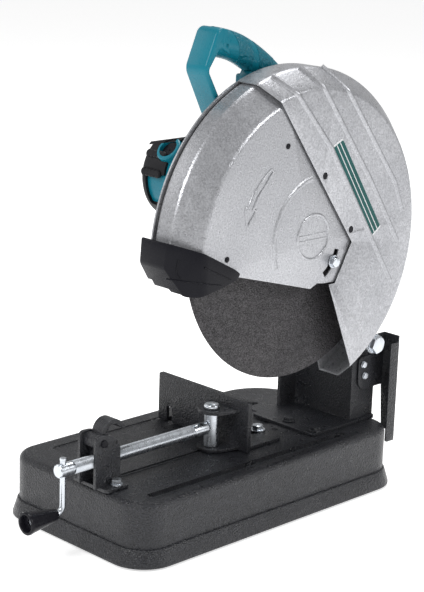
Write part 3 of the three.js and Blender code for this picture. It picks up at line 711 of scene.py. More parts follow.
@dataclass(frozen=True)
class HexBolt:
    """A hexagon-head bolt with a pressed washer.

    Args:
        across: Size across the head's flats.
        height: The head's height above the washer.
        washer: The washer's radius.
        shank: The shank's radius.
        length: The shank's length below the seat.
    """

    across: float
    height: float
    washer: float
    shank: float = 4.0
    length: float = 10.0

    def form(self, axis: Axis, centre: Point2, seat: float) -> Form:
        """The bolt, standing up from its seat along the axis.

        Args:
            axis: The bolt's axis.
            centre: Where it is, in the drawing's two coordinates.
            seat: The station of the surface it sits on.

        Returns:
            The closed form.
        """
        radius = self.across / math.sqrt(3)
        corners = [around(centre, radius, 60 * i + 12) for i in range(6)]
        top = seat + 1.8 + self.height
        head = Form.plate(axis, corners, seat + 1.5, top)
        dome = [(0, seat), (radius * 1.3, seat), (radius * 1.3, seat + self.height * 0.9),
                (self.across / 2 * 0.96, top), (0, top)]
        head.meet(Form.turned(axis, centre, dome, 32), Cut.KEEP)
        washer = Form.rod(axis, centre, seat, seat + 1.8, self.washer, 36, 0.35)
        shank = Form.rod(axis, centre, seat - self.length, seat + 1, self.shank, 20)
        return shank.beside(washer, head)


# ---------------------------------------------------------------- base


@dataclass
class Base(SubAssembly):
    """The pressed base with its grooves, its feet and the two bolts that hold the post bracket."""

    width: float = 260.0
    length: float = 460.0
    flare: float = 7.0
    corner: float = 38.0
    rear_left: float = 75.0
    step: float = 21.0
    feet: tuple[str, ...] = ("foot_front_left", "foot_front_right", "foot_rear_right", "foot_rear_left")

    def plan(self, inset: float) -> list[Corner]:
        """The base's plan with its corner roundings.

        Args:
            inset: How far inside the skirt's rim it is.

        Returns:
            The four corners, each with its reach.
        """
        x, y = self.width / 2 - inset, self.length / 2 - inset
        r, rear = max(self.corner - inset + self.flare, 6), max(self.rear_left - inset + self.flare, 6)
        return [(-x, -y, r), (x, -y, r * 1.01), (x, y, r * 1.02), (-x, y, rear)]

    def block(self, inset: float, bottom: float, top: float, edge: float) -> Form:
        """A block on the base's plan with its upper edge rounded.

        Args:
            inset: How far inside the skirt's rim it is.
            bottom: The height of its underside.
            top: The height of its top.
            edge: Width of the rounding.

        Returns:
            The closed form.
        """
        form = Form.plate(Axis.Z, self.plan(inset), bottom, top, steps=14)
        form.break_edges(edge, 6, 60, lambda middle: middle.z > top - 0.01)
        return form

    def skirt(self, inset: float, rim: float) -> Form:
        """The skirt, which leans in from its rim to the step.

        Args:
            inset: How far inside the skirt's outer face it is.
            rim: The height at which it starts to lean.

        Returns:
            The closed form.
        """
        form = Form.plate(Axis.Z, self.plan(inset), 0, rim, steps=14)
        lid = [f for f in form.mesh.faces if f.normal.z > 0.9]
        bmesh.ops.inset_region(form.mesh, faces=lid, thickness=self.flare - 1, depth=self.step - rim - inset)
        form.break_edges(1.6, 3, 30, lambda middle: middle.z > 10)
        return form

    @staticmethod
    def long_slot(x0: float, x1: float, y0: float, y1: float, z0: float, z1: float) -> Form:
        """A slot-shaped tool with round ends."""
        reach = min(x1 - x0, y1 - y0) / 2 - 0.02
        return Form.plate(Axis.Z, [(x0, y0), (x1, y0), (x1, y1), (x0, y1)], z0, z1, reach, 6)

    def tray(self) -> Form:
        """The base itself.

        Returns:
            The closed form.
        """
        top, x = DECK, WHEEL_X
        form = self.block(self.flare + 1, 1, top, 8).plus(self.skirt(0, 2.2))
        above = Form.plate(Axis.Z, [(-200, -300), (200, -300), (200, 300), (-200, 300)], 17.5, 40)
        form.less(self.block(self.flare + 4, -8, top - 3, 5), self.skirt(3, 2.2).less(above))
        form.plus(self.long_slot(x - 9, x + 9, -196, 146, top - 17, top - 1))
        sunk = [(-96, -176), (12, -176), (12, 120), (-96, 120)]
        panel = Form.plate(Axis.Z, sunk, top - 1.6, top + 4, 9, 6)
        panel.break_edges(1.1, 3, 60, lambda middle: middle.z < top)
        form.less(self.long_slot(x - 6, x + 6, -193, 143, top - 14, top + 4),
                  self.long_slot(26, 32, -174, 30, top - 1.8, top + 4), panel)
        holes = [((33, 87), 4.5), (FENCE_PIVOT, 5.0), (FENCE_CLAMP, 5.0)]
        form.less(*[Form.rod(Axis.Z, at, top - 9, top + 4, radius, 24) for at, radius in holes])
        form.less(self.long_slot(-60, -51, 128, 146, top - 9, top + 4))
        form.break_edges(0.7, 2, 62, lambda middle: middle.z > top - 0.2 and 0 < middle.x < 112)
        for x0, x1, y0, y1 in ((x - 7.2, x + 7.2, -194.2, 144.2), (25, 33, -175, 31)):
            rim = self.long_slot(x0, x1, y0, y1, top - 0.5, top + 0.7)
            rim.less(self.long_slot(x0 + 1.6, x1 - 1.6, y0 + 1.6, y1 - 1.6, top - 2, top + 2))
            form.beside(rim)
        return form

    def build(self) -> None:
        """Builds the base and what is bolted to it."""
        self.tray().shown("base_shell", WRINKLE, "base", "base_tray")
        for name in self.feet:
            Form.of_node(name, 0.4).shown(f"rubber_{name}", RUBBER, "base", name)
        for i, (a, b) in enumerate(((31, 115), (78, 113))):
            bolt = HexBolt(13, 4, 8, 4.2, 8).form(Axis.Z, (a, b), DECK + 4 + 2 * GAP)
            bolt.shown(f"post_screw_{i + 1}", WRINKLE, "base", f"post_bolt_{i + 1}")


@dataclass
class Post(SubAssembly):
    """The upright bracket, the hinge bolt and the spark shield behind it."""

    left: float = -22.0
    right: float = 79.0
    front: float = 178.0
    rear: float = 222.0
    sheet: float = 4.5
    eye: float = 22.0
    pivot: Point2 = (200.0, 184.0)
    side_screws: tuple[Point2, ...] = ((195.5, 154), (199, 138.5))

    def cheek(self, start: float, nose: float) -> Form:
        """One cheek of the bracket, round about the hinge bolt.

        Args:
            start: Where its thickness starts.
            nose: How far forward its foot reaches.

        Returns:
            The closed form.
        """
        z = self.pivot[1]
        foot, top = DECK + 1, z + self.eye
        outline = [(self.rear, foot), (self.rear, z), (self.rear, top, 21.9), (self.front, top, 21.8)]
        if nose < self.front:
            outline += [(self.front, 165, 4), (nose, 132, 6)]
        outline.append((nose, foot))
        return Form.plate(Axis.X, outline, start, start + self.sheet, steps=10)

    def bracket(self) -> Form:
        """The bent bracket with its foot, web and two cheeks.

        Returns:
            The closed form.
        """
        floor = DECK + GAP
        plan = [(self.left, 100), (85, 100), (85, self.rear), (self.left, self.rear)]
        form = Form.plate(Axis.Z, plan, floor, floor + 4, 6)
        web = [(self.left + 0.5, floor + 1), (self.right - 0.5, floor + 1), (self.right - 0.5, 152),
               (self.left + 0.5, 152)]
        form.plus(Form.plate(Axis.Y, web, self.front, self.front + self.sheet),
                  self.cheek(self.right - self.sheet, self.front), self.cheek(self.left, 148))
        form.less(Form.rod(Axis.X, self.pivot, self.left - 5, self.right + 5, 8.6, 32))
        form.break_edges(0.9, 3, 50)
        return form

    def shield(self) -> Form:
        """The folded shield that stands behind the bracket.

        Returns:
            The closed form.
        """
        tab = [(188, 128, 4), (196, 120, 2), (238, 120), (238, 190), (221, 190, 4), (221, 164, 4),
               (188, 164, 4)]
        back = [(79.6, 120), (84, 60, 4), (105, 60), (105, 190), (79.6, 190)]
        lip = [(238, 48), (238, 181), (222, 181, 3), (222, 48, 3)]
        form = Form.plate(Axis.X, tab, 79.6, 81.6)
        form.plus(Form.plate(Axis.Y, back, 236, 238), Form.plate(Axis.X, lip, 103, 105))
        form.break_edges(0.6, 2, 50)
        return form

    def hinge(self) -> None:
        """The hinge bolt with its washers and nut, and the spring on it."""
        y, z = self.pivot
        shaft = Form.rod(Axis.X, self.pivot, -38, 94, 8, 32, 0.8)
        collar = Form.rod(Axis.X, self.pivot, 92.5, 95, 13, 48, 0.5)
        shaft.beside(collar, HexBolt(20.5, 6.2, 12.4, 4, 1).form(Axis.X, self.pivot, 95))
        shaft.shown("hinge_bolt", ZINC, "base", "pivot_bolt")
        rings = [(79.5, 82), (82.4, 86.5), (87, 92)]
        spacer = Form()
        for (start, stop), radius in zip(rings, (12.5, 10.8, 12.2)):
            profile = [(8.4, start), (radius - 0.5, start), (radius, start + 0.5), (radius, stop - 0.5),
                       (radius - 0.5, stop), (8.4, stop), (8.4, start)]
            spacer.beside(Form.turned(Axis.X, self.pivot, profile, 48))
        spacer.shown("hinge_washers", ZINC, "base", "pivot_spacer")
        Form.of_node("pivot_nut", 0.8).shown("hinge_nut", ZINC, "base", "pivot_nut")
        turns, count, mean = 3.5, 85, 14.0
        coil = []
        for i in range(count):
            along = i / (count - 1)
            coil.append((-13 + 17 * along, *around((y, z), mean, 360 * turns * along)))
        Form.bent(coil, 1.6, 12, 2).shown("return_coil", STEEL, "base", "return_spring")

    def build(self) -> None:
        """Builds the bracket, its hinge and the shield."""
        self.bracket().shown("post", WRINKLE, "base", "post_bracket")
        self.shield().shown("spark_shield", WRINKLE, "base", "rear_shield")
        self.hinge()
        for i, at in enumerate(self.side_screws):
            HexBolt(7.5, 1.8, 4.6, 2.4, 7).form(Axis.X, at, 82).shown(
                f"side_screw_{i + 1}", ZINC, "base", f"shield_screw_{i + 1}")


# ---------------------------------------------------------------- fence and vise


@dataclass
class Fence(SubAssembly):
    """The bent plate that the workpiece is clamped against, and its two bolts."""

    left: float = -94.0
    right: float = 67.5
    front: float = 2.0
    top: float = 139.5
    rear: float = 64.0
    pivot: Point2 = FENCE_PIVOT
    clamp: Point2 = FENCE_CLAMP
    swing: float = 15.0
    slot_half: float = 5.0
    sheet: float = 4.5

    def plate(self) -> Form:
        """The upright plate and its foot.

        Returns:
            The closed form.
        """
        floor = DECK + GAP
        face = [(self.left, floor), (self.right, floor), (self.right, self.top, 3),
                (self.left, self.top, 3)]
        plan = [(self.left, self.front), (self.right, self.front), (self.right, self.rear, 8),
                (self.left, self.rear, 8)]
        form = Form.plate(Axis.Y, face, self.front, self.front + 5)
        form.plus(Form.plate(Axis.Z, plan, floor, floor + self.sheet))
        form.less(Base.long_slot(-79, -69, -10, 26, floor - 2, floor + 20), self.slot())
        form.break_edges(0.8, 2, 50)
        return form

    def slot(self) -> Form:
        """The curved slot's tool, about the fence's pivot.

        Returns:
            The closed form.
        """
        px, py = self.pivot
        reach = math.hypot(self.clamp[0] - px, self.clamp[1] - py)
        start = math.degrees(math.atan2(self.clamp[1] - py, self.clamp[0] - px)) - self.swing
        angles = [start + self.swing * i / 8 for i in range(9)]
        points = [around(self.pivot, reach - self.slot_half, angle) for angle in angles]
        points += [around(self.pivot, reach + self.slot_half, angle) for angle in reversed(angles)]
        form = Form.plate(Axis.Z, points, DECK - 3, DECK + 13)
        for angle in (angles[0], angles[-1]):
            end = around(self.pivot, reach, angle)
            form.plus(Form.rod(Axis.Z, end, DECK - 3, DECK + 13, 5.02, 24))
        return form.plus(Form.rod(Axis.Z, self.pivot, DECK - 3, DECK + 13, 5, 24))

    def build(self) -> None:
        """Builds the fence and its bolts."""
        self.plate().shown("fence_plate", WRINKLE, "fence_body", "fence")
        seat = DECK + self.sheet + 2 * GAP
        for name, at in (("fence_pivot_bolt", self.pivot), ("fence_clamp_bolt", self.clamp)):
            bolt = HexBolt(13, 5.5, 9.6, 4.2, 8).form(Axis.Z, at, seat)
            bolt.shown(f"{name}_head", ZINC, "base", name)


@dataclass
class Vise(SubAssembly):
    """The quick vise: bracket, half nut, screw, crank, pin and jaw."""

    x: float = 33.0
    z: float = 107.0
    radius: float = 8.0
    front: float = -271.0
    shoulder: float = -38.0
    lead: float = 2.0
    nut_pin: Point2 = (-216.0, 132.0)
    jaw_pin: Point2 = (33.0, -28.0)
    crank_y: float = -263.0
    crank_drop: float = 56.0

    def screw(self) -> Form:
        """The screw, with fine threads along its front part and a plain nose.

        Returns:
            The closed form.
        """
        centre = (self.x, self.z)
        r, front, shoulder = self.radius, self.front, self.shoulder
        profile = [(0, front), (r - 1, front), (r, front + 1), (r, -252)]
        station = -250.0
        while station < -60:
            profile += [(r, station), (r - 0.75, station + self.lead / 2)]
            station += self.lead
        profile += [(r, -58), (r, shoulder - 1), (r - 1, shoulder), (5, shoulder), (5, -25), (0, -25)]
        form = Form.turned(Axis.Y, centre, profile, 40)
        return form.less(Form.rod(Axis.Z, (self.x, self.crank_y), 80, 130, 3.9, 24))

    def crank(self) -> Form:
        """The bent crank rod.

        Returns:
            The closed form.
        """
        x, y, drop = self.x, self.crank_y, self.crank_drop
        points = [(x, y, 120.5), (x, y, drop + 10.999)]
        for i in range(1, 9):
            angle = math.radians(90 * i / 8)
            points.append((x, y - 9 * (1 - math.cos(angle)), drop + 9 - 9 * math.sin(angle)))
        points.append((x, y - 46, drop))
        stub = Form.rod(Axis.Z, (x, y), 118.5, 122, 3.9, 24, 0.6)
        return Form.bent(points, 3.5, 20, 1).beside(stub)

    def grip(self) -> Form:
        """The tapered crank grip with its hollow end.

        Returns:
            The closed form.
        """
        profile = [(4, -273), (6.2, -273), (6.8, -274), (8, -280), (11, -300), (13.0, -313), (13.5, -315),
                   (13.2, -316.6), (12.4, -317), (10.6, -317), (10, -316.4), (9.2, -310.5), (4, -310.5),
                   (4, -273)]
        return Form.turned(Axis.Y, (self.x, self.crank_drop), profile, 48)

    def bracket(self) -> Form:
        """The bracket's foot and two cheeks.

        Returns:
            The closed form.
        """
        floor = DECK + GAP
        form = Form.plate(Axis.Z, [(1, -224), (65, -224), (65, -188), (1, -188)], floor, floor + 4, 7)
        side = [(-228, 79), (-190, 79), (-191, 128, 7), (-206, 141, 7), (-228, 142, 7)]
        form.plus(*[Form.plate(Axis.X, side, start, start + 4) for start in (17, 45)])
        form.break_edges(0.7, 2, 50)
        return form

    def half_nut(self) -> Form:
        """The flip-up half nut with its thumb tab.

        Returns:
            The closed form.
        """
        body = [(-223, 125, 3), (-214, 124, 3), (-214, 107.6, 2), (-195, 107.6, 3), (-195, 132, 5),
                (-210, 140, 6), (-223, 139, 5)]
        tab = [(-214, 136, 4), (-210, 150, 6), (-198, 157, 7), (-184, 152, 7), (-177, 143, 2.5),
               (-180, 140, 2.5), (-188, 147, 4), (-198, 151, 5), (-204, 146, 4), (-203, 132, 3)]
        form = Form.plate(Axis.X, body, 21.8, 44.2)
        form.plus(Form.rod(Axis.X, self.nut_pin, 21.9, 44.1, 8, 36), Form.plate(Axis.X, tab, 23.8, 42.2))
        form.less(Form.rod(Axis.Y, (self.x, self.z), -240, -180, self.radius + 0.5, 40))
        form.break_edges(0.9, 2, 50)
        return form

    def jaw(self) -> Form:
        """The movable jaw with its two ears.

        Returns:
            The closed form.
        """
        form = Form.plate(Axis.Y, [(-5, 78), (73, 78), (73, 142, 4), (-5, 142, 4)], -5, 0)
        px = self.jaw_pin[0]
        ear = [(7, -4), (59, -4), (px + 15, -44, 14), (px - 15, -44, 13.9)]
        form.plus(*[Form.plate(Axis.Z, ear, z, z + 4, steps=8) for z in (78, 126)])
        form.less(Form.rod(Axis.Z, self.jaw_pin, 70, 140, 6.4, 32))
        form.break_edges(0.8, 2, 50)
        return form

    def pin(self) -> Form:
        """The stout pin that the jaw swivels on, bored for the screw's nose.

        Returns:
            The closed form.
        """
        profile = [(0, 78.4), (6, 78.4), (6, 82.4), (8.4, 82.4), (9, 83), (9, 125), (8.4, 125.6), (6, 125.6),
                   (6, 130.4), (9.2, 130.4), (9.6, 131), (9.6, 134.2), (9, 135.4), (7.4, 136.6), (0, 137)]
        form = Form.turned(Axis.Z, self.jaw_pin, profile, 48)
        x, y = self.jaw_pin
        return form.less(Form.rod(Axis.Y, (x, self.z), y - 14, y + 5, 5.5, 32))

    def build(self) -> None:
        """Builds the vise."""
        self.bracket().shown("vise_stand", WRINKLE, "base", "vise_bracket")
        for i, x in enumerate((57.2, 8.8)):
            bolt = HexBolt(10.5, 5.6, 7.4, 4.2, 8).form(Axis.Z, (x, -203), DECK + 4 + 2 * GAP)
            bolt.shown(f"stand_bolt_{i + 1}", ZINC, "base", f"bracket_bolt_{i + 1}")
        Form.of_node("half_nut_pin", 0.5).shown("nut_pin", BLACK, "base", "half_nut_pin")
        self.half_nut().shown("nut", WRINKLE, "half_nut_body", "half_nut")
        self.pin().shown("swivel_pin", ZINC, "vise_slider", "jaw_pin")
        self.jaw().shown("jaw_plate", WRINKLE, "jaw", "vise_jaw")
        self.screw().shown("lead_screw", ZINC, "screw", "vise_screw")
        self.crank().shown("crank", ZINC, "screw", "crank_rod")
        self.grip().shown("crank_knob", BLACK, "grip", "crank_grip")


# ---------------------------------------------------------------- wheel and drive


@dataclass
class Drive(SubAssembly):
    """The abrasive wheel with its flanges and bolt, the arm's casting and the spindle lock."""

    radius: float = 177.5
    bore: float = 13.1
    half: float = 1.5
    lock: Point2 = (30.0, 355.0)

    def wheel(self) -> Form:
        """The abrasive disc, with the corners of its rim worn off.

        Returns:
            The closed form.
        """
        r, near, far = self.radius, WHEEL_X - self.half, WHEEL_X + self.half
        profile = [(self.bore, near), (r - 0.7, near), (r, WHEEL_X - 0.8), (r, WHEEL_X + 0.8),
                   (r - 0.7, far), (self.bore, far), (self.bore, near)]
        return Form.turned(Axis.X, SPINDLE, profile, 180)

    def flanges(self) -> None:
        """The two clamping flanges and their bolt."""
        inner = [(12.8, 84.3), (34, 84.3), (38, 88), (38, 98.2), (12.8, 98.2), (12.8, 84.3)]
        outer = [(13, 101.8), (38, 101.8), (38, 107), (34, 111), (5.6, 111), (5.6, 106.5), (13, 106.5),
                 (13, 101.8)]
        for side, profile in (("inner", inner), ("outer", outer)):
            flange = Form.turned(Axis.X, SPINDLE, profile, 64)
            flange.shown(f"clamp_flange_{side}", STEEL, "spindle_group", f"{side}_flange")
        bolt = HexBolt(17, 6.5, 12, 5, 22).form(Axis.X, SPINDLE, 111 + GAP)
        bolt.shown("wheel_bolt", ZINC, "spindle_group", "flange_bolt")

    def build(self) -> None:
        """Builds the wheel, the flanges, the casting and the spindle lock's knob."""
        self.wheel().shown("abrasive_disc", GRIT, "spindle_group", "cutting_wheel")
        self.flanges()
        Form.of_node("arm_casting", 1.0).shown("gear_case_and_arm", WRINKLE, "head", "arm_casting")
        button = Form.rod(Axis.Y, self.lock, -27, -15.5, 7, 32, 1.2)
        button.beside(Form.rod(Axis.Y, self.lock, -16, 15, 3, 20, 0.4))
        button.shown("shaft_lock_knob", BLACK, "shaft_lock", "shaft_lock_button")


# ---------------------------------------------------------------- motor


@dataclass
class Motor(SubAssembly):
    """The motor housing with its soft bumper, brush caps and colour panels."""

    radius: float = 53.0
    wall: float = 4.5
    brush_x: float = -90.0
    brush_angle: float = 138.0
    brush_boss: float = 17.0
    brush_bore: float = 12.6
    flat: tuple[Point2, Point2] = ((-140.0, 429.5), (-84.3, 441.5))

    def spoke(self, degrees: float, start: float, stop: float, radius: float, segments: int = 40,
              edge: float = 0.4) -> Form:
        """A round bar that points out of the motor's axis.

        Args:
            degrees: Its angle from +Y towards +Z.
            start: Its inner end's distance from the axis.
            stop: Its outer end's distance from the axis.
            radius: The bar's radius.
            segments: Facets round it.
            edge: Width of the broken edges.

        Returns:
            The closed form.
        """
        y, z = MOTOR
        form = Form.rod(Axis.Y, (self.brush_x, z), y + start, y + stop, radius, segments, edge)
        return form.turn(degrees, Axis.X, (self.brush_x, y, z))

    def housing(self) -> Form:
        """The housing, with the two brush bosses and the vents in its end.

        Returns:
            The closed form.
        """
        r, bore = self.radius, self.radius - self.wall
        profile = [(0, -122), (r - 4, -122), (r, -118), (r, -22), (r - 1, -18.4), (bore, -18.4),
                   (bore, -118), (0, -118)]
        form = Form.turned(Axis.X, MOTOR, profile, 72)
        for angle in (self.brush_angle, self.brush_angle + 180):
            form.plus(self.spoke(angle, 40, 60, self.brush_boss, 48, 1.4))
            form.less(self.spoke(angle, 30, 70, self.brush_bore, 48, 0.0))
        for i in range(6):
            a, b = around(MOTOR, 32, 60 * i)
            vent = [(a - 10, b - 3), (a + 10, b - 3), (a + 10, b + 3), (a - 10, b + 3)]
            form.less(Form.plate(Axis.X, vent, -130, -110, 2.9))
        return form.less(self.top_slab(-3.7, 40.0))

    def bumper(self) -> Form:
        """The soft bumper that wraps the housing's end, with windows for the panels.

        Returns:
            The closed form.
        """
        profile = [(20, -130), (47, -130), (51, -129), (56.4, -122.5), (57.4, -119), (57.5, -87),
                   (56.8, -84), (53.4, -84), (53.4, -122.6), (20, -122.6), (20, -130)]
        form = Form.turned(Axis.X, MOTOR, profile, 72)
        for angle in (self.brush_angle, self.brush_angle + 180):
            form.less(self.spoke(angle, 50, 80, self.brush_boss + 0.6, 48, 0.0))
        for angle in (190, 340):
            a, b = around(MOTOR, 60, angle)
            plan = [(-116, b - 24, 4), (-80, b - 24), (-80, b + 18), (-116, b + 18, 4)]
            form.less(Form.plate(Axis.Y, plan, a - 16, a + 16))
        for angle, high in ((172, 60.6), (148, 60.2)):
            for station in range(-118, -92, 6):
                knob = self.spoke(angle, 54, high, 5.2, 24, 1.6)
                bmesh.ops.translate(knob.mesh, verts=knob.mesh.verts, vec=(station - self.brush_x, 0, 0))
                form.plus(knob)
        lid = Form.rod(Axis.X, MOTOR, -129.5, -84.3, 56.4, 72, 1.0).meet(self.top_slab(-3.5, 0.0), Cut.KEEP)
        return form.less(self.top_slab(0.0, 40.0)).beside(lid)

    def top_slab(self, low: float, high: float) -> Form:
        """A slab along the bumper's flat top, between two heights above it."""
        plan = [(x, z + low) for x, z in self.flat] + [(x, z + high) for x, z in reversed(self.flat)]
        return Form.plate(Axis.Y, plan, -40, 140)

    def build(self) -> None:
        """Builds the motor."""
        self.housing().shown("motor_body", TEAL, "head", "motor_housing")
        self.bumper().shown("motor_bumper", RUBBER, "head", "motor_end_cap")
        for side, angle in (("front", self.brush_angle), ("rear", self.brush_angle + 180)):
            cap = self.spoke(angle, 44, 55.4, 12.1, 48, 0.8)
            slot = self.spoke(angle, 54.4, 60, 1.4, 4, 0.0)
            cap.less(slot).shown(f"brush_screw_{side}", BLACK, "head", f"brush_cap_{side}")


# ---------------------------------------------------------------- guards


@dataclass(frozen=True)
class Dish:
    """A surface about the guards' axis: a rim, a sloping shoulder and a flat face.

    Args:
        rim: The rim's radius.
        shoulder: The X where the shoulder starts.
        face_radius: The flat face's radius.
        face: The flat face's X.
    """

    rim: float
    shoulder: float
    face_radius: float
    face: float
    centre: Point2 = (33.0, 345.0)

    def solid(self, open_x: float, edge: float = 0.0) -> Form:
        """The solid under the surface.

        Args:
            open_x: Where the rim ends.
            edge: Width of the rounded edges.

        Returns:
            The closed form.
        """
        profile = [(0, open_x), (self.rim, open_x), (self.rim, self.shoulder), (self.face_radius, self.face),
                   (0, self.face)]
        form = Form.turned(Axis.X, self.centre, profile, 160)
        if edge:
            form.break_edges(edge, 5, 20, lambda middle: middle.x > self.shoulder - 1)
        return form

    def height(self, y: float, z: float) -> float:
        """The surface's X at a place.

        Args:
            y: The place's Y.
            z: The place's Z.

        Returns:
            The X.
        """
        radius = math.hypot(y - self.centre[0], z - self.centre[1])
        if radius <= self.face_radius:
            return self.face
        slope = (self.face - self.shoulder) / (self.rim - self.face_radius)
        return self.face - (radius - self.face_radius) * slope

    def bead(self, line: list[Point2], radius: float, sink: float) -> Form:
        """A round bead that follows a line over the surface.

        Args:
            line: The line's points.
            radius: The bead's radius.
            sink: How far the bead's middle is under the surface.

        Returns:
            The closed form.
        """
        places = []
        for (y0, z0), (y1, z1) in zip(line, line[1:]):
            count = max(2, int(math.hypot(y1 - y0, z1 - z0) / 4))
            places += [(y0 + (y1 - y0) * i / count, z0 + (z1 - z0) * i / count) for i in range(count)]
        places.append(line[-1])
        return Form.bent([(self.height(y, z) - sink, y, z) for y, z in places], radius, 12, 1)


REAR_OUTSIDE = Dish(206, 104, 184, 130)
REAR_INSIDE = Dish(204.4, 103.6, 183.4, 129)
FRONT_OUTSIDE = Dish(203, 99, 176, 127)
FRONT_INSIDE = Dish(201, 98.2, 175, 125)
NOSE_ROOM = Dish(203.6, 99.4, 176.4, 127.5)


@dataclass
class Guards(SubAssembly):
    """The rear guard shell, the front shell that tucks under it, its nose and its lock bolt."""

    back_x: float = 72.0
    back_sheet: float = 2.0
    seam: tuple[Point2, Point2] = ((-29, 517), (104, 338))
    lower: tuple[Point2, ...] = ((-260, 338), (-91, 325), (36, 290), (48, 295), (61, 293))
    spare_holes: tuple[Point2, ...] = ((50, 425), (101, 354))
    hole: float = 4.3
    badge_at: Point2 = (37.0, 353.0)
    rivets: tuple[Point2, ...] = ((-13, 466), (-106, 347))
    ribs: tuple[tuple[Point2, ...], ...] = (
        ((-3, 525), (58, 458), (181, 278)),
        ((43, 527), (135, 408), (190, 328)),
        ((87, 519), (179, 403), (196, 365)),
    )

    def beside_seam(self, along: float, aside: float) -> Point2:
        """A point beside the seam line.

        Args:
            along: How far it is down the line from its upper end.
            aside: How far it is to the rear of the line.

        Returns:
            The point.
        """
        (y0, z0), (y1, z1) = self.seam
        length = math.hypot(y1 - y0, z1 - z0)
        wy, wz = (y1 - y0) / length, (z1 - z0) / length
        return y0 + wy * along - wz * aside, z0 + wz * along + wy * aside

    def reach_rim(self, line: tuple[Point2, ...]) -> list[Point2]:
        """A rib's line with its first run carried out to the rim.

        Args:
            line: The rib's line.

        Returns:
            The longer line.
        """
        (y0, z0), (y1, z1) = line[0], line[1]
        cy, cz = REAR_OUTSIDE.centre
        y, z = y0, z0
        while math.hypot(y - cy, z - cz) < REAR_OUTSIDE.rim - 1.5:
            y, z = y + (y0 - y1) * 0.01, z + (z0 - z1) * 0.01
        return [(y, z), *line]

    def rear_shell(self) -> Form:
        """The fixed rear shell with its back plate and ribs.

        Returns:
            The closed form.
        """
        plate_x = self.back_x + self.back_sheet
        outer = REAR_OUTSIDE.solid(self.back_x, 3.2)
        below = [*self.lower, (66, 291), (118, 170), (132, 130), (-260, 100)]
        forward = [(-260, 100), (132, 130), (103, 196), (66, 291), (77, 291), self.seam[1],
                   self.beside_seam(-90, 0), (-260, 620)]
        outer.less(REAR_INSIDE.solid(plate_x, 2.4), Form.plate(Axis.X, below, 60, 140),
                   Form.plate(Axis.X, forward, plate_x + 0.01, 140))
        outer.less(*[Form.rod(Axis.X, at, 120, 140, self.hole, 32) for at in self.spare_holes],
                   Form.rod(Axis.X, SPINDLE, 60, 80, 20, 64))
        outer.break_edges(0.5, 2, 60, lambda middle: middle.x > plate_x + 2)
        for rib in self.ribs:
            ridge = REAR_OUTSIDE.bead(self.reach_rim(rib), 4.6, 2.7)
            outer.beside(ridge.less(REAR_INSIDE.solid(plate_x)))
        return outer

    def front_shell(self) -> Form:
        """The front shell with its raised boss, ring and rotation arrow.

        Returns:
            The closed form.
        """
        outer = FRONT_OUTSIDE.solid(77, 3.2)
        beyond = [self.beside_seam(-160, 11), self.beside_seam(222, 11), (89, 290), (89, 80), (420, 80),
                  (420, 700)]
        below = [*self.lower, (89, 292), (89, 60), (-260, 60)]
        slot = [around(FRONT_OUTSIDE.centre, 45, -58 + 43 * i / 6) for i in range(7)]
        slot += [around(FRONT_OUTSIDE.centre, 53, -15 - 43 * i / 6) for i in range(7)]
        outer.less(FRONT_INSIDE.solid(72, 2.0), Form.plate(Axis.X, beyond, 60, 140),
                   Form.plate(Axis.X, below, 60, 140), Form.plate(Axis.X, slot, 110, 140))
        outer.break_edges(0.5, 2, 60, lambda middle: middle.x > 79)
        return outer.beside(self.boss(), *self.badge(), self.arrow())

    def boss(self) -> Form:
        """The raised edge of the boss round the wheel's middle."""
        return FRONT_OUTSIDE.bead([around((45, 350), 75, a) for a in range(101, 205, 4)], 6.5, 4.9)

    def badge(self) -> list[Form]:
        """A plain ring crossed by a bar, with short ribs in each half.

        Returns:
            The forms.
        """
        y, z = self.badge_at
        radius = 27.0
        circle = [around(self.badge_at, radius, a) for a in range(0, 361, 10)]
        marks = [FRONT_OUTSIDE.bead(circle, 2.4, 0.9)]
        for dz in (3.2, -3.2):
            half = math.sqrt(radius * radius - dz * dz)
            marks.append(FRONT_OUTSIDE.bead([(y - half, z + dz), (y + half, z + dz)], 1.4, 0.7))
        for sign in (1, -1):
            for dy, length in ((-8, 9), (0, 12), (8, 9)):
                rib = [(y + dy, z + sign * 9), (y + dy, z + sign * (9 + length))]
                marks.append(FRONT_OUTSIDE.bead(rib, 1.6, 0.8))
        return marks

    def arrow(self) -> Form:
        """The outline of the rotation arrow.

        Returns:
            The closed form.
        """
        side = [(-39, 442.5), (-53.5, 431), (-66, 417.5), (-74, 402)]
        line = [(-62, 397), (-66.5, 399.5), (-59, 413), (-48, 424.5), (-36, 439), *side, (-79, 403),
                (-76, 379), (-62, 397)]
        return FRONT_OUTSIDE.bead(line, 2.0, 0.5)

    def label(self) -> None:
        """The blank label strip between two ribs, with a light border and stripes."""
        corners = [Vector(corner) for corner in ((60, 459), (77, 467), (156, 350), (140, 339))]
        Form.plate(Axis.X, corners, 129.9, 130.35, 2.0).shown("label_border", LABEL_EDGE, "head")
        middle = sum(corners, Vector((0, 0))) / 4
        inner = [middle.lerp(corner, 0.965) for corner in corners]
        Form.plate(Axis.X, inner, 130.2, 130.6, 1.5).shown("label_field", LABEL, "head")
        stripes = Form()
        for low, high in ((0.30, 0.36), (0.64, 0.70)):
            stripe = [inner[0].lerp(inner[1], low), inner[0].lerp(inner[1], high),
                      inner[3].lerp(inner[2], high), inner[3].lerp(inner[2], low)]
            stripes.beside(Form.plate(Axis.X, stripe, 130.4, 130.8))
        stripes.shown("label_stripes", LABEL_EDGE, "head")

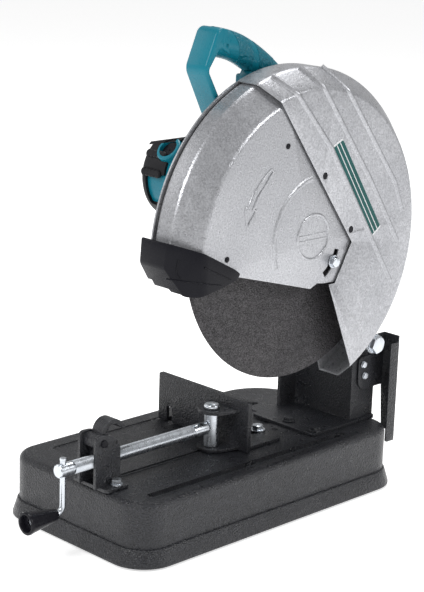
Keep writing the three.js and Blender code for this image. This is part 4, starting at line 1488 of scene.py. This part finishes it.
    def nose(self) -> Form:
        """The moulded nose, an open box that throws the sparks down.

        Returns:
            The closed form.
        """
        side = [(-184, 374, 3), (-147, 361, 3), (-97, 335, 3), (-89, 329, 2), (-94, 323, 2), (-118, 317, 3),
                (-150, 311, 3), (-165, 312, 3), (-171, 321, 3), (-186, 345, 3)]
        plan = [(70, -190), (107, -190, 6), (132.5, -146, 6), (132.5, -80), (70, -80)]
        in_plan = [(73, -187), (106, -187, 4), (129.5, -145, 4), (129.5, -60), (73, -60)]
        in_side = [(-181, 371), (-147, 358.5), (-80, 325), (-80, 290), (-162, 290), (-168, 322), (-183, 346)]
        form = Form.plate(Axis.X, side, 60, 140)
        form.meet(Form.plate(Axis.Z, plan, 290, 390), Cut.KEEP)
        inner = Form.plate(Axis.X, in_side, 60, 140).meet(Form.plate(Axis.Z, in_plan, 280, 400), Cut.KEEP)
        form.break_edges(1.4, 3, 35)
        form.less(inner, NOSE_ROOM.solid(76), Form.rod(Axis.X, NOSE_ROOM.centre, 60, 76.5, 207.2, 160))
        creases = [
            [(117.3, -172.3, 355), (116.4, -173.8, 342), (117.0, -172.8, 337), (118.9, -169.5, 334)],
            [(110.6, -183.8, 334), (119.0, -169.3, 331), (132.2, -146.5, 326.5), (132.2, -119.5, 320.5)],
            [(132.2, -146.0, 345), (132.2, -104.0, 324.5)],
        ]
        return form.beside(*[Form.bent(crease, 0.9, 12, 1) for crease in creases])

    def build(self) -> None:
        """Builds the guards and what is fixed to them."""
        self.rear_shell().shown("rear_guard_shell", SILVER, "head", "fixed_guard")
        self.front_shell().shown("front_guard_shell", SILVER, "moving_guard", "front_guard")
        self.nose().shown("spark_nose", BLACK, "moving_guard", "nose_deflector")
        rivet = [(0, 126.5), (3.4, 126.5), (3.4, 127.6), (2.4, 128.4), (0, 128.7)]
        rivets = Form().beside(*[Form.turned(Axis.X, at, rivet, 24) for at in self.rivets])
        rivets.shown("push_rivets", BLACK, "moving_guard")
        # Painted shade: thin black discs sit in the spare holes, where the holes would show shade.
        shade_disc_radius = self.hole - 0.1
        hole_shade_discs = Form().beside(*[Form.rod(Axis.X, at, 129.1, 129.5, shade_disc_radius, 32) for at in self.spare_holes])
        hole_shade_discs.shown("painted_hole_shade", BLACK, "head")
        bolt = HexBolt(11.5, 4.6, 8, 3, 7).form(Axis.X, (74, 318), FRONT_OUTSIDE.face + GAP)
        bolt.shown("guard_lock_screw", ZINC, "head", "guard_lock_bolt")
        self.label()


# ---------------------------------------------------------------- handle


@dataclass
class Handle(SubAssembly):
    """The loop handle with its grip pads, trigger, lock button and gland."""

    x: float = 50.0
    half: float = 17.0
    loop: tuple[Corner, ...] = (
        (-37.6, 448), (-58, 487), (-90.5, 550, 7), (-70, 598.6, 9), (-54, 594.5), (-50, 565), (-66, 574, 5),
        (-83, 549.5, 4), (-63, 515), (-36, 470, 3), (-8, 470, 3), (-8, 538, 3), (30, 538), (62, 505, 9),
        (86, 484, 9), (86, 448))
    grip: tuple[Point2, ...] = (
        (-66, 580.5), (-45, 577), (-28, 571.5), (-12, 564), (4, 554.5), (22, 542.5), (40, 528), (56, 511),
        (66, 494))
    pad_front: tuple[Corner, ...] = ((-44, 600), (-30, 550), (-9, 540), (-18, 592))
    pad_rear: tuple[Corner, ...] = ((-8, 590), (1, 535), (34, 510), (26, 575))

    def bar(self, radius: float) -> Form:
        """The round grip bar of the given radius."""
        return Form.bent([(self.x, a, b) for a, b in self.grip], radius, 40, 6)

    def whole(self) -> Form:
        """The band in front, the round grip on top and the foot behind, in one.

        Returns:
            The closed form.
        """
        x, half = self.x, self.half
        form = Form.plate(Axis.X, list(self.loop), x - half, x + half, steps=6)
        form.break_edges(3.2, 4, 60, lambda middle: abs(middle.x - x) > half - 0.5 and middle.z > 449)
        form.plus(self.bar(half))
        room = [(-20, 505, 2), (18, 505, 2), (18, 554, 2), (-8, 558, 2)]
        return form.less(Form.plate(Axis.X, room, x - 8.5, x + 8.5))

    def pads(self) -> None:
        """The dimpled pads let into both sides of the grip."""
        for side, start, stop in (("left", self.x - 30, self.x - 7), ("right", self.x + 7, self.x + 30)):
            pad = Form()
            for outline in (self.pad_front, self.pad_rear):
                run = self.bar(self.half + 0.35)
                run.meet(Form.plate(Axis.X, list(outline), start, stop, 7.0, 5), Cut.KEEP)
                pad.beside(run)
            pad.shown(f"grip_pad_{side}", TEAL_DIMPLED, "head")

    def build(self) -> None:
        """Builds the handle and its controls."""
        self.whole().shown("handle_shell", TEAL, "head", "handle_left", "handle_right")
        self.pads()
        Form.of_node("trigger", 1.6, 35).shown("trigger_lever", TEAL, "trigger_body", "trigger")
        Form.of_node("lock_button", 0.5).shown("lock_on_button", BLACK, "lock_button_body", "lock_button")
        gland = [(4.2, 86.4), (11, 86.4), (11, 88), (10, 92)]
        station, radius = 93.0, 9.6
        while station < 106:
            gland += [(radius, station), (radius, station + 1.4), (radius - 1.2, station + 1.8),
                      (radius - 1.2, station + 2.6)]
            station, radius = station + 3.0, radius - 0.55
        gland += [(6.6, 108), (4.2, 108), (4.2, 86.4)]
        Form.turned(Axis.Y, (self.x, 470), gland, 40).shown("lead_gland", RUBBER, "head", "cord_gland")


# ---------------------------------------------------------------- studio


@dataclass
class Studio:
    """The floor, the lights and the camera."""

    camera_at: Point3 = (1.4362, -1.3973, 0.8101)
    azimuth: float = 45.06
    elevation: float = 15.06
    roll: float = 1.83
    lens: float = 104.47

    def floor(self) -> None:
        """A plain pale floor and backdrop in one sheet."""
        mesh = bmesh.new()
        bmesh.ops.create_grid(mesh, x_segments=1, y_segments=1, size=12)
        sheet = bpy.data.meshes.new("floor")
        mesh.to_mesh(sheet)
        mesh.free()
        material = bpy.data.materials.new("floor")
        material.use_nodes = True
        shader = material.node_tree.nodes["Principled BSDF"]
        shader.inputs["Base Color"].default_value = (0.86, 0.86, 0.86, 1)
        shader.inputs["Roughness"].default_value = 0.8
        shader.inputs["Emission Color"].default_value = (1, 1, 1, 1)
        shader.inputs["Emission Strength"].default_value = 0.6
        sheet.materials.append(material)
        plane = bpy.data.objects.new("floor", sheet)
        bpy.context.scene.collection.objects.link(plane)

    def light(self, name: str, at: Point3, aim: Point3, size: float, power: float) -> None:
        """A square soft light.

        Args:
            name: Its name.
            at: Where it stands, in metres.
            aim: What it points at, in metres.
            size: The side of its square, in metres.
            power: Its power in watts.
        """
        lamp = bpy.data.lights.new(name, "AREA")
        lamp.shape = "SQUARE"
        lamp.size = size
        lamp.energy = power
        holder = bpy.data.objects.new(name, lamp)
        holder.location = at
        holder.rotation_euler = (Vector(aim) - Vector(at)).to_track_quat("-Z", "Y").to_euler()
        bpy.context.scene.collection.objects.link(holder)

    def camera(self) -> None:
        """The camera at the saw's front right."""
        az, el, roll = (math.radians(a) for a in (self.azimuth, self.elevation, self.roll))
        back = Vector((math.sin(az) * math.cos(el), -math.cos(az) * math.cos(el), math.sin(el)))
        right = Vector((math.cos(az), math.sin(az), 0))
        up = back.cross(right)
        across = right * math.cos(roll) + up * math.sin(roll)
        above = up * math.cos(roll) - right * math.sin(roll)
        data = bpy.data.cameras.new("camera")
        data.lens = self.lens
        data.sensor_width = 36
        data.clip_start = 0.01
        holder = bpy.data.objects.new("camera", data)
        basis = Matrix((across, above, back)).transposed()
        holder.matrix_world = Matrix.Translation(self.camera_at) @ basis.to_4x4()
        bpy.context.scene.collection.objects.link(holder)
        bpy.context.scene.camera = holder

    def build(self) -> None:
        """Sets up the studio."""
        self.camera()
        self.floor()
        middle = (0.0, 0.0, 0.25)
        self.light("key", (0.3, -2.7, 2.3), middle, 0.9, 50)
        self.light("side", (2.7, 1.1, 2.0), middle, 0.9, 36)
        self.light("fill", (-2.4, -1.2, 1.6), middle, 1.6, 12)
        self.light("top", (-0.4, 1.2, 2.8), middle, 1.4, 44)
        world = bpy.data.worlds.new("studio")
        bpy.context.scene.world = world
        world.use_nodes = True
        background = world.node_tree.nodes["Background"]
        background.inputs["Color"].default_value = (1, 1, 1, 1)
        background.inputs["Strength"].default_value = 0.38
        bpy.context.scene.view_settings.view_transform = "Standard"


def dress_inner_pieces() -> None:
    """Gives every CAD node that stays its finish."""
    finishes = {f.slot: f for f in (WRINKLE, SILVER, TEAL, BLACK, RUBBER, ZINC, STEEL, GRIT, COPPER, CARBON)}
    for part in frame["record"]["subparts"]:
        node = frame["nodes"][part["node"]]
        material = finishes[part["material_slot"]].material()
        for slot in node.material_slots:
            slot.material = material


def main() -> None:
    """Builds the studio and the saw, group by group."""
    logging.basicConfig(level=logging.INFO, format="%(name)s: %(message)s")
    dress_inner_pieces()
    Studio().build()
    for group in (Base(), Post(), Fence(), Vise(), Drive(), Motor(), Guards(), Handle()):
        LOG.info("building %s", type(group).__name__)
        group.build()


if __name__ == "__main__":
    main()
